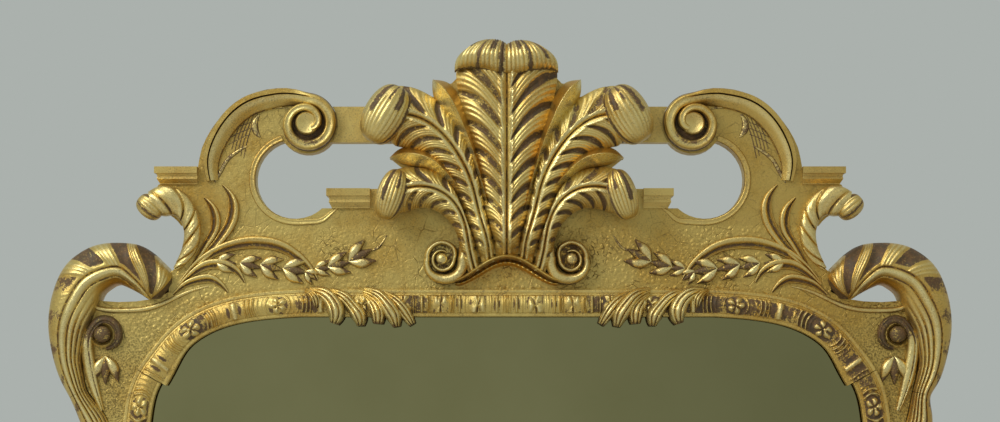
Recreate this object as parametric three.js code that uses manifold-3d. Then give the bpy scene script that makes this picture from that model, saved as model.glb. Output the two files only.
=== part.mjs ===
// A carved giltwood overmantel mirror, in millimetres, +Z up, seen from -Y.
// The origin is on the flat back of the top rail, on the frame's middle line.
// "Depth" is how far a face stands forward of the back plane, so y = -depth.
// "Out" is a distance from the middle of the frame towards either side.
import * as THREE from 'three';
import { mergeVertices } from 'three/addons/utils/BufferGeometryUtils.js';
import Module from 'manifold-3d';

const wasm = await Module();
wasm.setup();

// ---------------------------------------------------------------- driving dimensions
const gap = 0.3; // clearance between cut neighbours

// the glass that shows
const sightHalfWidth = 472;
const sightHeight = 600;
const sightTop = -62;
const sightShift = 9; // the opening and the plumes sit right of the frame's middle
const cornerCurve = [[0, 139], [9, 97], [28, 67], [52, 39], [86, 18], [131, 6], [197, 0]]; // in, down

// the boards
const boardThick = 36;
const lipThick = 10; // wood left in front of the plate
const lipInset = 3; // the lip stands back from the sight edge
const rebate = 10; // the rebate is this much wider than the sight on every side
const railRise = 122; // sight edge up to the crest joint
const baseDrop = 113; // sight edge down to the standing edge
const jointDrop = 102; // sight edge to the joint of rail and stile
const lapLength = 22; // the stile's tongue, half lapped behind the rail
const lapDepth = 18;
const baseInset = 40; // the standing edge ends this far inside the shoulder line
const baseCheek = 22; // height of the base's square ends
const baseHeight = 26; // of the moulding along the base

// the edge of the boards beside the big C: [out, up from the crest joint], then from the sight edge
const notchCurve = [[-41, 0], [-49, -14], [-49, -24], [-45, -37], [-38, -49], [-27, -60]];
const scrollSeat = [[-5, 50], [-8, 30], [4, 23.5], [21, 21], [45, 20], [73, 22]];

// the plate and what holds it
const plateThick = 4;
const platePlay = 2;
const slipThick = 9;
const slipWidth = 12;
const backboardThick = 8;
const backboardCount = 3;

// the sight moulding: width across, and how far it stands forward of the board
const mouldingWidth = 37;
const mouldingRise = 16;
const cornerJoint = 88; // down from the sight edge to the joint in the moulding
const claspInset = 225; // the clasp's outer end, in from the side of the opening
const claspWidth = 135;
const claspDrop = 11; // their lobes hang this far over the glass
const claspRise = 26;
const claspLobes = 5;

// the big C on each side: [out, up from the sight edge, half width, rise above the boards],
// first out of the shoulder line, then out of the sight's side
const shoulderCurve = [
  [-16, 30, 7, 14], [-11, 40, 13, 22], [-1, 54, 20, 26], [17, 65, 26, 30], [42, 71, 28, 32],
  [69, 66, 30, 34], [90, 50, 31, 34], [102, 24, 31, 32], [110, -6, 28, 28], [112, -37, 23, 24],
  [111, -57, 19, 22], [105, -81, 16, 20], [97, -jointDrop, 13, 18],
];
const waistCurve = [
  [76, -139, 18, 18], [62, -178, 15, 16], [52, -228, 11, 14], [47, -sightHeight / 2, 9, 14],
];
const groundVoluteOut = 65;
const groundVoluteDrop = 23; // below the sight edge
const groundVoluteRadius = 18;
const groundVoluteRise = 9;

// the crest, all from the crest joint: [out of the shoulder line, up]
const openingRadius = 53;
const openingCentre = [-190, 62];
const seamShare = 0.4; // the seam passes the opening's centre at this share of its radius
const voluteRadius = 40;
const voluteCentre = [-206, 136];
const ledgeFoot = 55;
const ledgeHeight = 23;
const ledgeRise = 14;
const ledgeIn = 60; // the outer ledge runs between these distances inside the shoulder line
const ledgeOut = 3;
const innerLedgeFoot = 23;
const innerLedgeHeight = 26;
const innerLedgeInset = 11; // its end stands this far inside the opening's edge
const innerLedgeStop = 182; // its front part stops here, beside the plumes
const barFoot = 111;
const barHeight = 48;
const barThick = 28;
const barRoot = 12; // the bar reaches this far past the volute's centre before it is hollowed
const crestCurve = [[-217, 175], [-177, 184], [-131, 176], [-90, 145], [-66, 106],
  [-ledgeIn, ledgeFoot + ledgeHeight]];
const behindLeafCurve = [[-8, ledgeFoot], [2, 40], [13, 28], [10, 17], [-1, 13], [-14, 17], [-26, 12],
  [-35, 4], [-38, 0]];

// the C-scroll moulding: [out, up, half width, rise], then a spiral round the volute's centre
const sweepCurve = [[-80, 60, 8, 8], [-78, 85, 11, 12], [-86, 112, 13, 14], [-103, 139, 14, 16],
  [-131, 161, 14, 16], [-165, 170, 13, 15], [-192, 171, 11, 15]];
const spiralWidth = [9, 4.5]; // half width at its start and at its end
const spiralRise = [15, 20];
const spiralEnd = 13; // radius at its end
const volutePlinth = 4;
const voluteEye = 8;
const voluteEyeRise = 23;

// the side leaf: [out, up, half width, rise]
const leafCurve = [[-31, -58, 3, 6], [-48, -35, 9, 12], [-54, -10, 11, 16], [-49, 12, 13, 18],
  [-35, 28, 17, 22], [-15, 32, 20, 26], [4, 27, 18, 26], [14, 22, 9, 18]];

// the plumes, drawn as [out of the middle, up from their seat, half width]
const plumeSeat = 62; // above the sight edge
const plumeClear = 33; // from the volute's board to the leaf tips beside it
const backingThick = 14;
const plumeRise = 32; // of the stems in front of the backing
const plumeCurlRise = 58; // of the curled tips
const plumeCurves = {
  centre: [
    [0, 25, 14], [0, 66, 20], [0, 126, 33], [0, 192, 52], [0, 240, 65], [0, 272, 66], [0, 292, 56],
    [0, 304, 36],
  ],
  upper: [
    [36, 25, 8], [43, 60, 13], [51, 90, 19], [64, 118, 26], [82, 146, 33], [104, 175, 39], [127, 197, 42],
    [149, 205, 39], [167, 204, 29], [180, 199, 15],
  ],
  lower: [
    [53, 16, 6], [54, 40, 11], [61, 64, 15], [75, 86, 18], [95, 101, 21], [118, 106, 24], [139, 103, 31],
    [156, 97, 28], [169, 91, 16],
  ],
};
const plumeLifts = { // how far each row has risen towards the curl
  centre: [0.1, 0.3, 0.4, 0.5, 0.75, 1, 0.9, 0.5],
  upper: [0.1, 0.3, 0.4, 0.5, 0.6, 0.75, 1, 0.95, 0.7, 0.4],
  lower: [0.1, 0.3, 0.4, 0.5, 0.6, 0.8, 1, 0.9, 0.5],
};
const backingCurve = [
  [0, 24], [38, 18], [60, 12], [58, 30], [62, 52], [76, 76], [95, 88], [122, 88], [145, 80], [158, 72],
  [170, 88], [171, 106], [163, 122], [148, 130], [134, 132], [154, 148], [133, 160], [140, 170], [166, 172],
  [182, 186], [184, 204], [176, 222], [156, 236], [130, 238], [94, 230], [98, 252], [84, 247], [66, 250],
  [60, 276], [40, 296], [0, 290],
];
const barSeat = 140; // out to the centre board's edge, where the bars meet it
const upstandCurve = [ // out of the middle, up from the crest joint
  [142, innerLedgeFoot], [barSeat, 60], [125, 90], [barSeat, 120], [barSeat, 155], [95, 168], [62, 202],
  [40, 225],
];
const baseVolutePlace = [86, 15]; // out of the middle, up from the plumes' seat
const baseVoluteRadius = 19;
const baseVoluteRise = 24;
const archClear = 5; // between the arch, the base volutes and the moulding
const archHeight = 36;
const archHalfWidth = 6;
const archRise = 10;

// the hanging plates, rings and screws
const hangerDrop = 43; // below the sight edge
const hangerOut = 56; // outside the shoulder line
const pocketWidth = 40;
const pocketHeight = 70;
const pocketDepth = 12;
const hangerThick = 2.5;
const hangerWidth = 26;
const hangerHeight = 60;
const ringWire = 2.5; // radius
const ringRadius = 16;
const ringBar = 11; // half the length of its straight bar
const ringDepth = 5;
const strapWidth = 14;
const strapWall = 1.6;
const screwSpread = 24; // from the ring's bar to each screw
const screwRadius = 1.8;
const screwHead = 3.6;
const screwLength = 18;
const screwPoint = 4; // length of its point
const screwNeck = 0.5; // from the end of its countersunk head to the pocket's floor

// ---------------------------------------------------------------- worked-out places
const shoulder = sightHalfWidth - sightShift; // the shoulder line, out from the middle
const crestZ = sightTop + railRise;
const baseZ = sightTop - sightHeight - baseDrop;
const middleZ = sightTop - sightHeight / 2;
const upperJointZ = sightTop - jointDrop;
const lowerJointZ = sightTop - sightHeight + jointDrop;
// the clasps lie between these distances from the opening's middle
const claspOut = sightHalfWidth - claspInset;
const claspIn = claspOut - claspWidth;
const seamOut = openingCentre[0] - openingRadius * seamShare;
const plumeDepth = boardThick + backingThick;
const plumeReach = Math.max(...backingCurve.map(([out]) => out));
const plumeStretch = (shoulder + voluteCentre[0] - voluteRadius - plumeClear) / plumeReach;
const sideSteps = 34; // facets along half of a side scroll
const cornerSteps = 16; // facets round a corner of the opening
const screwSides = 8; // of a screw's hole
const neckRow = 8; // the boards' edge lies behind the side scroll from this row down
const far = 4 * (sightHalfWidth + sightHeight); // larger than the frame, for cutters

// the rebate, and the depths of what lies in it
const opening = {
  x0: sightShift - sightHalfWidth - rebate,
  x1: sightShift + sightHalfWidth + rebate,
  z0: sightTop - sightHeight - rebate,
  z1: sightTop + rebate,
};
const plateFront = boardThick - lipThick - gap;
const slipFront = plateFront - plateThick - gap;
const boardsFront = slipFront - slipThick - gap;
const hangerBack = pocketDepth - hangerThick;

// ---------------------------------------------------------------- solids
// A closed geometry as a solid that can be joined and cut.
function solid(geometry) {
  const bare = new THREE.BufferGeometry();
  bare.setAttribute('position', geometry.getAttribute('position').clone());
  if (geometry.index) bare.setIndex(geometry.index.clone());
  const merged = mergeVertices(bare, 1e-4);
  const place = merged.getAttribute('position').array;
  const corners = Uint32Array.from(merged.index.array);
  let volume = 0;
  const [a, b, c] = [new THREE.Vector3(), new THREE.Vector3(), new THREE.Vector3()];
  for (let i = 0; i < corners.length; i += 3) {
    a.fromArray(place, 3 * corners[i]);
    b.fromArray(place, 3 * corners[i + 1]);
    c.fromArray(place, 3 * corners[i + 2]);
    volume += a.dot(b.cross(c));
  }
  if (volume < 0) corners.reverse();
  const vertProperties = Float32Array.from(place);
  return new wasm.Manifold(new wasm.Mesh({ numProp: 3, vertProperties, triVerts: corners }));
}

function geometryOf(body) {
  const mesh = body.getMesh();
  const geometry = new THREE.BufferGeometry();
  geometry.setAttribute('position', new THREE.BufferAttribute(mesh.vertProperties, 3));
  geometry.setIndex(new THREE.BufferAttribute(mesh.triVerts, 1));
  return geometry;
}

const joined = (bodies) => bodies.reduce((whole, body) => whole.add(body));

// A board sawn to an outline of [x, z] points, between two depths.
function board(outline, back, front) {
  const shape = new THREE.Shape(outline.map(([x, z]) => new THREE.Vector2(x, z)));
  const geometry = new THREE.ExtrudeGeometry(shape, { depth: front - back, bevelEnabled: false });
  geometry.rotateX(Math.PI / 2);
  geometry.translate(0, -back, 0);
  return solid(geometry);
}

// A box from its lowest and highest [x, depth, z].
function block([x0, back, z0], [x1, front, z1]) {
  const geometry = new THREE.BoxGeometry(x1 - x0, front - back, z1 - z0);
  geometry.translate((x0 + x1) / 2, -(back + front) / 2, (z0 + z1) / 2);
  return solid(geometry);
}

// A turned piece with its axis from back to front: [radius, depth] points from axis to axis.
function turned(profile, x, z, steps = 20) {
  const points = profile.map(([radius, depth]) => new THREE.Vector2(radius, -depth));
  const geometry = new THREE.LatheGeometry(points, steps);
  geometry.translate(x, 0, z);
  return solid(geometry);
}

// Points on a smooth curve through rows of numbers that start with x and z.
function smooth(rows, count) {
  const along = [0];
  for (let i = 1; i < rows.length; i++) {
    along.push(along[i - 1] + Math.hypot(rows[i][0] - rows[i - 1][0], rows[i][1] - rows[i - 1][1]));
  }
  const curve = new THREE.CubicInterpolant(along, rows.flat(), rows[0].length);
  const whole = along[along.length - 1];
  return Array.from({ length: count + 1 }, (_, i) => Array.from(curve.evaluate((whole * i) / count)));
}

function arc([x, z], radius, from, to, steps) {
  return Array.from({ length: steps + 1 }, (_, i) => {
    const angle = THREE.MathUtils.degToRad(from + ((to - from) * i) / steps);
    return [x + radius * Math.cos(angle), z + radius * Math.sin(angle)];
  });
}

// The unit vector across a path at one of its points, in the plane of the frame.
function across(path, i) {
  const before = path[Math.max(i - 1, 0)];
  const after = path[Math.min(i + 1, path.length - 1)];
  const length = Math.hypot(after[0] - before[0], after[1] - before[1]);
  return [(after[1] - before[1]) / length, -(after[0] - before[0]) / length];
}

// A closed body through rings of points, with a flat cap at each end.
function loft(rings) {
  const size = rings[0].length;
  const corners = [];
  for (let i = 0; i < rings.length - 1; i++) {
    for (let j = 0; j < size; j++) {
      const [p, q] = [i * size + j, i * size + ((j + 1) % size)];
      corners.push(p, q, q + size, p, q + size, p + size);
    }
  }
  const last = (rings.length - 1) * size;
  for (let j = 1; j < size - 1; j++) corners.push(0, j + 1, j, last, last + j, last + j + 1);
  const geometry = new THREE.BufferGeometry();
  geometry.setAttribute('position', new THREE.Float32BufferAttribute(rings.flat(2), 3));
  geometry.setIndex(corners);
  return solid(geometry);
}

// A carved band: rows of [x, z, half width, rise], flat behind, rounded in front. Its rise is
// above "base", and "cheek" is the share of its depth at which the sides turn over.
function band(rows, { back, base = back, cheek, facets }) {
  return loft(rows.map(([x, z, half, rise], i) => {
    const front = base + rise;
    const [nx, nz] = across(rows, i);
    const ring = [[1, 0], [-1, 0]];
    for (let k = 0; k <= facets; k++) {
      const angle = Math.PI * (1 - k / facets);
      ring.push([Math.cos(angle), cheek + (1 - cheek) * Math.sin(angle)]);
    }
    return ring.map(([s, r]) => [x + nx * half * s, -(back + (front - back) * r), z + nz * half * s]);
  }));
}

// What a band would need cut out of its neighbour, all the way through.
const clearing = (rows) => loft(rows.map(([x, z, half], i) => {
  const [nx, nz] = across(rows, i);
  const reach = half + gap;
  const ring = [[reach, -far], [-reach, -far], [-reach, far], [reach, far]];
  return ring.map(([s, y]) => [x + nx * s, y, z + nz * s]);
}));

// ---------------------------------------------------------------- places on the frame
const outX = (side, out) => side * (shoulder + out);
const sightX = (side, inward) => sightShift + side * (sightHalfWidth - inward);
const plumeX = (side, out) => sightShift + side * out * plumeStretch;
const claspX = (side, out) => sightShift + side * out;
const plumeZ = (up) => sightTop + plumeSeat + up;
const crestPoint = (side) => ([out, up, ...rest]) => [outX(side, out), crestZ + up, ...rest];

// The same rows turned upside down about the middle of the glass.
const upsideDown = (rows) => rows.map(([x, z, ...rest]) => [x, 2 * middleZ - z, ...rest]);

// The big C on each side, from its curled end over the shoulder down to the waist:
// rows of [x, z, half width, rise].
function sidePath(side) {
  return [
    ...shoulderCurve.map(([out, up, ...rest]) => [outX(side, out), sightTop + up, ...rest]),
    ...waistCurve.map(([out, up, ...rest]) => [sightX(side, -out), sightTop + up, ...rest]),
  ];
}

// The same C with its reflection below the waist.
function sideRows(side) {
  const upper = smooth(sidePath(side), sideSteps);
  return [...upper, ...upsideDown(upper).reverse().slice(1)];
}

// One side of the sight edge, from the clasp round both corners to the middle of the foot:
// rows of [x, z, and the outward direction].
function sightRun(side) {
  const corner = cornerCurve.map(([inward, down]) => [sightX(side, inward), sightTop - down]).reverse();
  const upper = [[claspX(side, claspOut + gap), sightTop], ...smooth(corner, cornerSteps)];
  const path = [...upper, ...upsideDown(upper).reverse()];
  return path.map(([x, z], i) => {
    const [nx, nz] = across(path, i);
    return [x, z, -side * nx, -side * nz];
  });
}

// The rows of a falling run that lie between two heights, with a new row at each of them.
function between(rows, high, low) {
  const inside = [];
  rows.forEach((row, i) => {
    const before = rows[i - 1];
    for (const z of [high, low]) {
      if (!before || before[1] <= z || row[1] > z) continue;
      const share = (before[1] - z) / (before[1] - row[1]);
      inside.push(row.map((value, k) => before[k] + (value - before[k]) * share));
    }
    if (row[1] < high && row[1] > low) inside.push(row);
  });
  return inside;
}

function sightOpening(offset) {
  const edge = (side) => sightRun(side).map(([x, z, nx, nz]) => [x + nx * offset, z + nz * offset]);
  return [...edge(-1), ...edge(1).reverse()];
}

// ---------------------------------------------------------------- the carcass boards
function carcass() {
  const half = (side) => {
    const top = [
      ...notchCurve.map(crestPoint(side)),
      ...scrollSeat.map(([out, up]) => [outX(side, out), sightTop + up]),
    ];
    const edge = sidePath(side).slice(neckRow).map(([x, z]) => [x, z]);
    const foot = upsideDown([...top.slice(notchCurve.length - 1), ...edge.slice(0, -1)]).reverse();
    const end = outX(side, -baseInset);
    return [...top, ...edge, ...foot, [end, baseZ + baseCheek], [end, baseZ]];
  };
  const { x0, x1, z0, z1 } = opening;
  return board([...half(-1), ...half(1).reverse()], 0, boardThick)
    .subtract(board(sightOpening(lipInset), -far, far))
    .subtract(block([x0, -far, z0], [x1, boardThick - lipThick, z1]))
    .subtract(clearing(sideRows(-1)))
    .subtract(clearing(sideRows(1)));
}

// The small volutes carved on the ground beside each shoulder and foot.
function groundVolute(side, isTop) {
  const height = sightTop - groundVoluteDrop;
  // shares of its radius and of its rise
  const rings = [[1, 0.65], [0.83, 1], [0.61, 0.35], [0.5, 0.8], [0.28, 1.35], [0, 1.45]];
  const front = rings.map(([out, up]) => [groundVoluteRadius * out, boardThick + groundVoluteRise * up]);
  const root = boardThick / 2;
  const profile = [[0, root], [groundVoluteRadius, root], ...front];
  return turned(profile, outX(side, groundVoluteOut), isTop ? height : 2 * middleZ - height);
}

const hangerPlace = (side) => [outX(side, hangerOut), sightTop - hangerDrop];

function screwPlaces(side) {
  const [x, z] = hangerPlace(side);
  return [[x, z + screwSpread], [x, z - screwSpread]];
}

// The carcass cut at its four joints, with the stiles' tongues behind the rails.
const [topRail, leftStile, rightStile, bottomRail] = (() => {
  const whole = carcass();
  const upTo = (z0, z1, back, front) => block([-far, back, z0], [far, front, z1]);
  const tongueTop = upperJointZ + lapLength;
  const tongueFoot = lowerJointZ - lapLength;
  const behind = boardThick - lapDepth;
  const middle = upTo(lowerJointZ, upperJointZ, -far, far)
    .add(upTo(tongueFoot, tongueTop, -far, behind));
  const middleRoom = upTo(lowerJointZ - gap, upperJointZ + gap, -far, far)
    .add(upTo(tongueFoot - gap, tongueTop + gap, -far, behind + gap));
  const stiles = whole.intersect(middle);
  const rails = whole.subtract(middleRoom);
  const leftHalf = block([-far, -far, -far], [sightShift, far, far]);
  const upperHalf = block([-far, -far, middleZ], [far, far, far]);
  let top = rails.intersect(upperHalf).add(groundVolute(-1, true)).add(groundVolute(1, true));
  for (const side of [-1, 1]) {
    const [x, z] = hangerPlace(side);
    top = top.subtract(block([x - pocketWidth / 2, -far, z - pocketHeight / 2],
      [x + pocketWidth / 2, pocketDepth, z + pocketHeight / 2]));
    for (const [sx, sz] of screwPlaces(side)) {
      const [reach, end] = [screwRadius + gap, hangerBack + screwLength + 1];
      top = top.subtract(turned([[0, 0], [reach, 0], [reach, end], [0, end]], sx, sz, screwSides));
    }
  }
  const bottom = rails.subtract(upperHalf).add(groundVolute(-1, false)).add(groundVolute(1, false));
  return [top, stiles.intersect(leftHalf), stiles.subtract(leftHalf), bottom];
})();

// ---------------------------------------------------------------- the crest boards
// The angle at which the lower half of the opening's edge passes a place across or up.
const degrees = THREE.MathUtils.radToDeg;
const angleAcross = (out) => -degrees(Math.acos((out - openingCentre[0]) / openingRadius));
const angleUp = (up) => degrees(Math.asin((openingCentre[1] - up) / openingRadius)) - 180;

// The C-scroll board: from the seam round the opening, the volute and the outer curve.
function crestBoard(side) {
  const start = seamOut + gap / 2;
  const [openingTop, voluteStart, voluteEnd] = [76, -36, -254]; // degrees
  const outline = [
    [start, 0],
    ...arc(openingCentre, openingRadius, angleAcross(start), openingTop, 18),
    ...arc(voluteCentre, voluteRadius, voluteStart, voluteEnd, 18),
    ...smooth(crestCurve, 16).slice(1),
    [-ledgeIn, ledgeFoot],
    ...smooth(behindLeafCurve, 14),
  ];
  return board(outline.map(crestPoint(side)), 0, boardThick);
}

// The centre board, with the upstand that carries the plumes.
function centreBoard() {
  const start = seamOut - gap / 2;
  const edge = arc(openingCentre, openingRadius, angleAcross(start), angleUp(innerLedgeFoot), 3);
  const half = (side) => [
    [outX(side, start), crestZ],
    ...edge.map(crestPoint(side)),
    ...upstandCurve.map(([out, up]) => [plumeX(side, out), crestZ + up]),
  ];
  return board([...half(-1), ...half(1).reverse()], 0, boardThick);
}

// The C-scroll moulding ends in a volute that winds a little more than one turn.
function scrollMoulding(side) {
  const [turnStart, turn, steps] = [98, 400, 24]; // degrees
  const from = ([first, last], share) => first + (last - first) * share;
  const spiral = Array.from({ length: steps + 1 }, (_, i) => {
    const share = i / steps;
    const angle = THREE.MathUtils.degToRad(turnStart + turn * share);
    const radius = from([voluteRadius - spiralWidth[0], spiralEnd], share);
    const place = [voluteCentre[0] + radius * Math.cos(angle), voluteCentre[1] + radius * Math.sin(angle)];
    return [...place, from(spiralWidth, share), from(spiralRise, share)];
  });
  const rows = [...smooth(sweepCurve, 14), ...spiral].map(crestPoint(side));
  const [x, z] = crestPoint(side)(voluteCentre);
  const [front, plinth] = [boardThick, voluteRadius - spiralWidth[0] + volutePlinth / 2 + 1];
  const bed = [[0, front], [plinth, front], [plinth, front + volutePlinth], [0, front + volutePlinth]];
  const eye = [[0, front], [voluteEye, front], [voluteEye, front + voluteEyeRise * 0.8],
    [voluteEye * 0.6, front + voluteEyeRise * 0.95], [0, front + voluteEyeRise]];
  const winding = band(rows, { back: front, cheek: 0.35, facets: 5 });
  return joined([winding, turned(bed, x, z, 24), turned(eye, x, z, 14)]);
}

// ---------------------------------------------------------------- ledges and bars
// A length of cornice moulding: the same steps on its front and round its outer end.
function ledge(end, start, foot, height) {
  const steps = [[1, 1], [1, 0.62], [0.72, 0.6], [0.6, 0.45], [0.68, 0.3], [0.3, 0.04], [0.3, 0]];
  const endShare = 0.7; // the steps of the end are this much shallower
  const front = steps.map(([forward, up]) => [boardThick + ledgeRise * forward, foot + height * up]);
  const profile = [[0, foot], [0, foot + height], ...front];
  const shape = new THREE.Shape(profile.map(([depth, z]) => new THREE.Vector2(-depth, z)));
  const run = new THREE.ExtrudeGeometry(shape, { depth: Math.abs(end - start) + 2, bevelEnabled: false });
  run.rotateX(Math.PI / 2);
  run.rotateZ(Math.PI / 2);
  run.translate(Math.min(end, start) - 1, 0, 0);
  const inwards = Math.sign(start - end) * ledgeRise * endShare;
  const returned = steps.map(([forward, up]) => [end + inwards * (1 - forward), foot + height * up]);
  const ends = board([[start, foot], [start, foot + height], ...returned], 0, boardThick + ledgeRise);
  return solid(run).intersect(ends);
}

const outerLedge = (side) =>
  ledge(outX(side, -ledgeOut), outX(side, -ledgeIn), crestZ + ledgeFoot, ledgeHeight);

// The inner ledge runs in behind the plumes, where its projecting part is cut away.
function innerLedge(side) {
  const foot = crestZ + innerLedgeFoot;
  const end = outX(side, openingCentre[0] - openingRadius + innerLedgeInset);
  const start = plumeX(side, upstandCurve[0][0]) + side * gap;
  const behind = block([plumeX(-1, innerLedgeStop), boardThick, foot - 1],
    [plumeX(1, innerLedgeStop), far, foot + innerLedgeHeight + 1]);
  return ledge(end, start, foot, innerLedgeHeight).subtract(behind);
}

function bar(side) {
  const [outer, inner] = [outX(side, voluteCentre[0] - barRoot), plumeX(side, barSeat) + side * gap];
  const ends = [Math.min(outer, inner), Math.max(outer, inner)];
  const whole = block([ends[0], boardThick - barThick, crestZ + barFoot],
    [ends[1], boardThick, crestZ + barFoot + barHeight]);
  const [x, z] = crestPoint(side)(voluteCentre);
  const round = [[0, -far], [voluteRadius + gap, -far], [voluteRadius + gap, far], [0, far]];
  return whole.subtract(turned(round, x, z, 64));
}

// ---------------------------------------------------------------- shoulders, side bands, leaves
// The whole C of one side, upper and lower, then sawn into shoulder, side band and foot.
function sideScrolls(side) {
  const whole = band(sideRows(side), { back: 0, base: boardThick, cheek: 0.55, facets: 6 });
  const slab = (z0, z1) => block([-far, -far, z0], [far, far, z1]);
  return {
    shoulder_scroll: whole.intersect(slab(upperJointZ, far)),
    side_band: whole.intersect(slab(lowerJointZ + gap, upperJointZ - gap)),
    foot_scroll: whole.intersect(slab(-far, lowerJointZ)),
  };
}

// A leaf stem that rises beside the notch and turns outwards into a ball curl.
const sideLeaf = (side) =>
  band(smooth(leafCurve.map(crestPoint(side)), 20), { back: boardThick, cheek: 0.35, facets: 6 });

// ---------------------------------------------------------------- plumes
// A stem rises a little on its way up, and from half way its tip rises to the full curl.
function plumeLift(share) {
  if (share < 0.5) return plumeRise * (0.6 + 0.8 * share);
  return plumeRise + (plumeCurlRise - plumeRise) * (2 * share - 1);
}

function plumeRows(name, side) {
  const rows = plumeCurves[name].map(([out, up, half], i) =>
    [plumeX(side, out), plumeZ(up), half * plumeStretch, plumeLift(plumeLifts[name][i])]);
  return smooth(rows, 18);
}

// A plume, cut where others lie in front of it.
function plume(name, side, inFront) {
  const body = band(plumeRows(name, side), { back: plumeDepth, cheek: 0.3, facets: 7 });
  return inFront.reduce((rest, other) => rest.subtract(clearing(plumeRows(other, side))), body);
}

function plumeBacking() {
  const edge = (side) => backingCurve.map(([out, up]) => [plumeX(side, out), plumeZ(up)]);
  return board([...edge(1), ...edge(-1).slice(1, -1).reverse()], boardThick, plumeDepth);
}

function baseVolute(side) {
  const rings = [[1, 0.67], [0.74, 1], [0.53, 0.8], [0.32, 1], [0, 1.08]]; // shares of radius, rise
  const front = rings.map(([out, up]) => [baseVoluteRadius * out, boardThick + baseVoluteRise * up]);
  const [out, up] = baseVolutePlace;
  return turned([[0, boardThick], [baseVoluteRadius, boardThick], ...front], plumeX(side, out), plumeZ(up));
}

// An arch under the plumes: half an ellipse that stands on the sight moulding.
function plumeArch() {
  const foot = sightTop + mouldingWidth + archClear;
  const halfSpan = baseVolutePlace[0] * plumeStretch - baseVoluteRadius - archClear;
  const rows = arc([0, 0], 1, 180, 0, 16).map(([across, up]) =>
    [sightShift + halfSpan * across, foot + archHeight * up, archHalfWidth, archRise]);
  return band(rows, { back: boardThick, cheek: 0.4, facets: 5 });
}

// ---------------------------------------------------------------- sight mouldings and clasps
// Across the moulding: distance out from the sight edge, share of its rise.
const mouldingProfile = [[0, 0], [0, 0.4], [7, 0.45], [10, 0.75], [19, 1], [28, 0.75], [31, 0.55],
  [mouldingWidth, 0.55], [mouldingWidth, 0]];

const mouldingLength = (rows) => loft(rows.map(([x, z, nx, nz]) => mouldingProfile.map(([out, share]) =>
  [x + nx * out, -(boardThick + mouldingRise * share), z + nz * out])));

function sightMouldings(side) {
  const run = sightRun(side);
  const upper = sightTop - cornerJoint;
  const lower = 2 * middleZ - upper;
  return {
    sight_moulding_top: mouldingLength(between(run, far, upper + gap / 2)),
    sight_moulding: mouldingLength(between(run, upper - gap / 2, lower + gap / 2)),
    sight_moulding_bottom: mouldingLength(between(run, lower - gap / 2, -far)),
  };
}

function sightStraight(z, outward, halfLength) {
  return mouldingLength([[sightShift - halfLength, z, 0, outward], [sightShift + halfLength, z, 0, outward]]);
}

// A cluster of curled lobes on a thin bed, hanging over the sight edge. Each lobe has rows of
// [sideways lean and half width as shares of its width, drop and rise as shares of the clasp's].
function leafClasp(side) {
  const [from, to] = [claspIn + gap, claspOut - gap];
  const [top, height] = [sightTop + mouldingWidth, mouldingWidth + claspDrop];
  const step = (to - from) / claspLobes;
  const lobeRows = [[0.25, 0.3, 0.02, 0.3], [0.15, 0.46, 0.25, 0.7], [0, 0.49, 0.56, 1],
    [-0.12, 0.45, 0.83, 0.92], [-0.12, 0.25, 1, 0.65]];
  const lobes = Array.from({ length: claspLobes }, (_, i) => {
    const middle = from + step * (i + 0.5);
    const rows = lobeRows.map(([lean, half, drop, rise]) =>
      [claspX(side, middle + step * lean), top - height * drop, step * half, claspRise * rise]);
    return band(smooth(rows, 6), { back: boardThick, cheek: 0.4, facets: 4 });
  });
  const foot = top - height * 0.83;
  const bed = [[from, top], [to, top], [to - step * 0.3, foot], [from + step * 0.15, foot]];
  const bedFront = boardThick + claspRise * 0.27;
  const placedBed = board(bed.map(([out, z]) => [claspX(side, out), z]), boardThick, bedFront);
  const ends = [claspX(side, from), claspX(side, to)].sort((a, b) => a - b);
  return joined([placedBed, ...lobes]).intersect(block([ends[0], -far, -far], [ends[1], far, far]));
}

// ---------------------------------------------------------------- plate, slips, backboards
function mirrorPlate() {
  return block([opening.x0 + platePlay, plateFront - plateThick, opening.z0 + platePlay],
    [opening.x1 - platePlay, plateFront, opening.z1 - platePlay]);
}

function glazingSlips() {
  const { x0, x1, z0, z1 } = opening;
  const [back, front] = [slipFront - slipThick, slipFront];
  const inside = slipWidth + gap;
  return {
    slip_top: block([x0 + gap, back, z1 - slipWidth], [x1 - gap, front, z1 - gap]),
    slip_bottom: block([x0 + gap, back, z0 + gap], [x1 - gap, front, z0 + slipWidth]),
    slip_left: block([x0 + gap, back, z0 + inside], [x0 + slipWidth, front, z1 - inside]),
    slip_right: block([x1 - slipWidth, back, z0 + inside], [x1 - gap, front, z1 - inside]),
  };
}

function backboard(index) {
  const height = (opening.z1 - opening.z0) / backboardCount;
  const foot = opening.z0 + height * index;
  return block([opening.x0 + gap, boardsFront - backboardThick, foot + gap],
    [opening.x1 - gap, boardsFront, foot + height - gap]);
}

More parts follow.
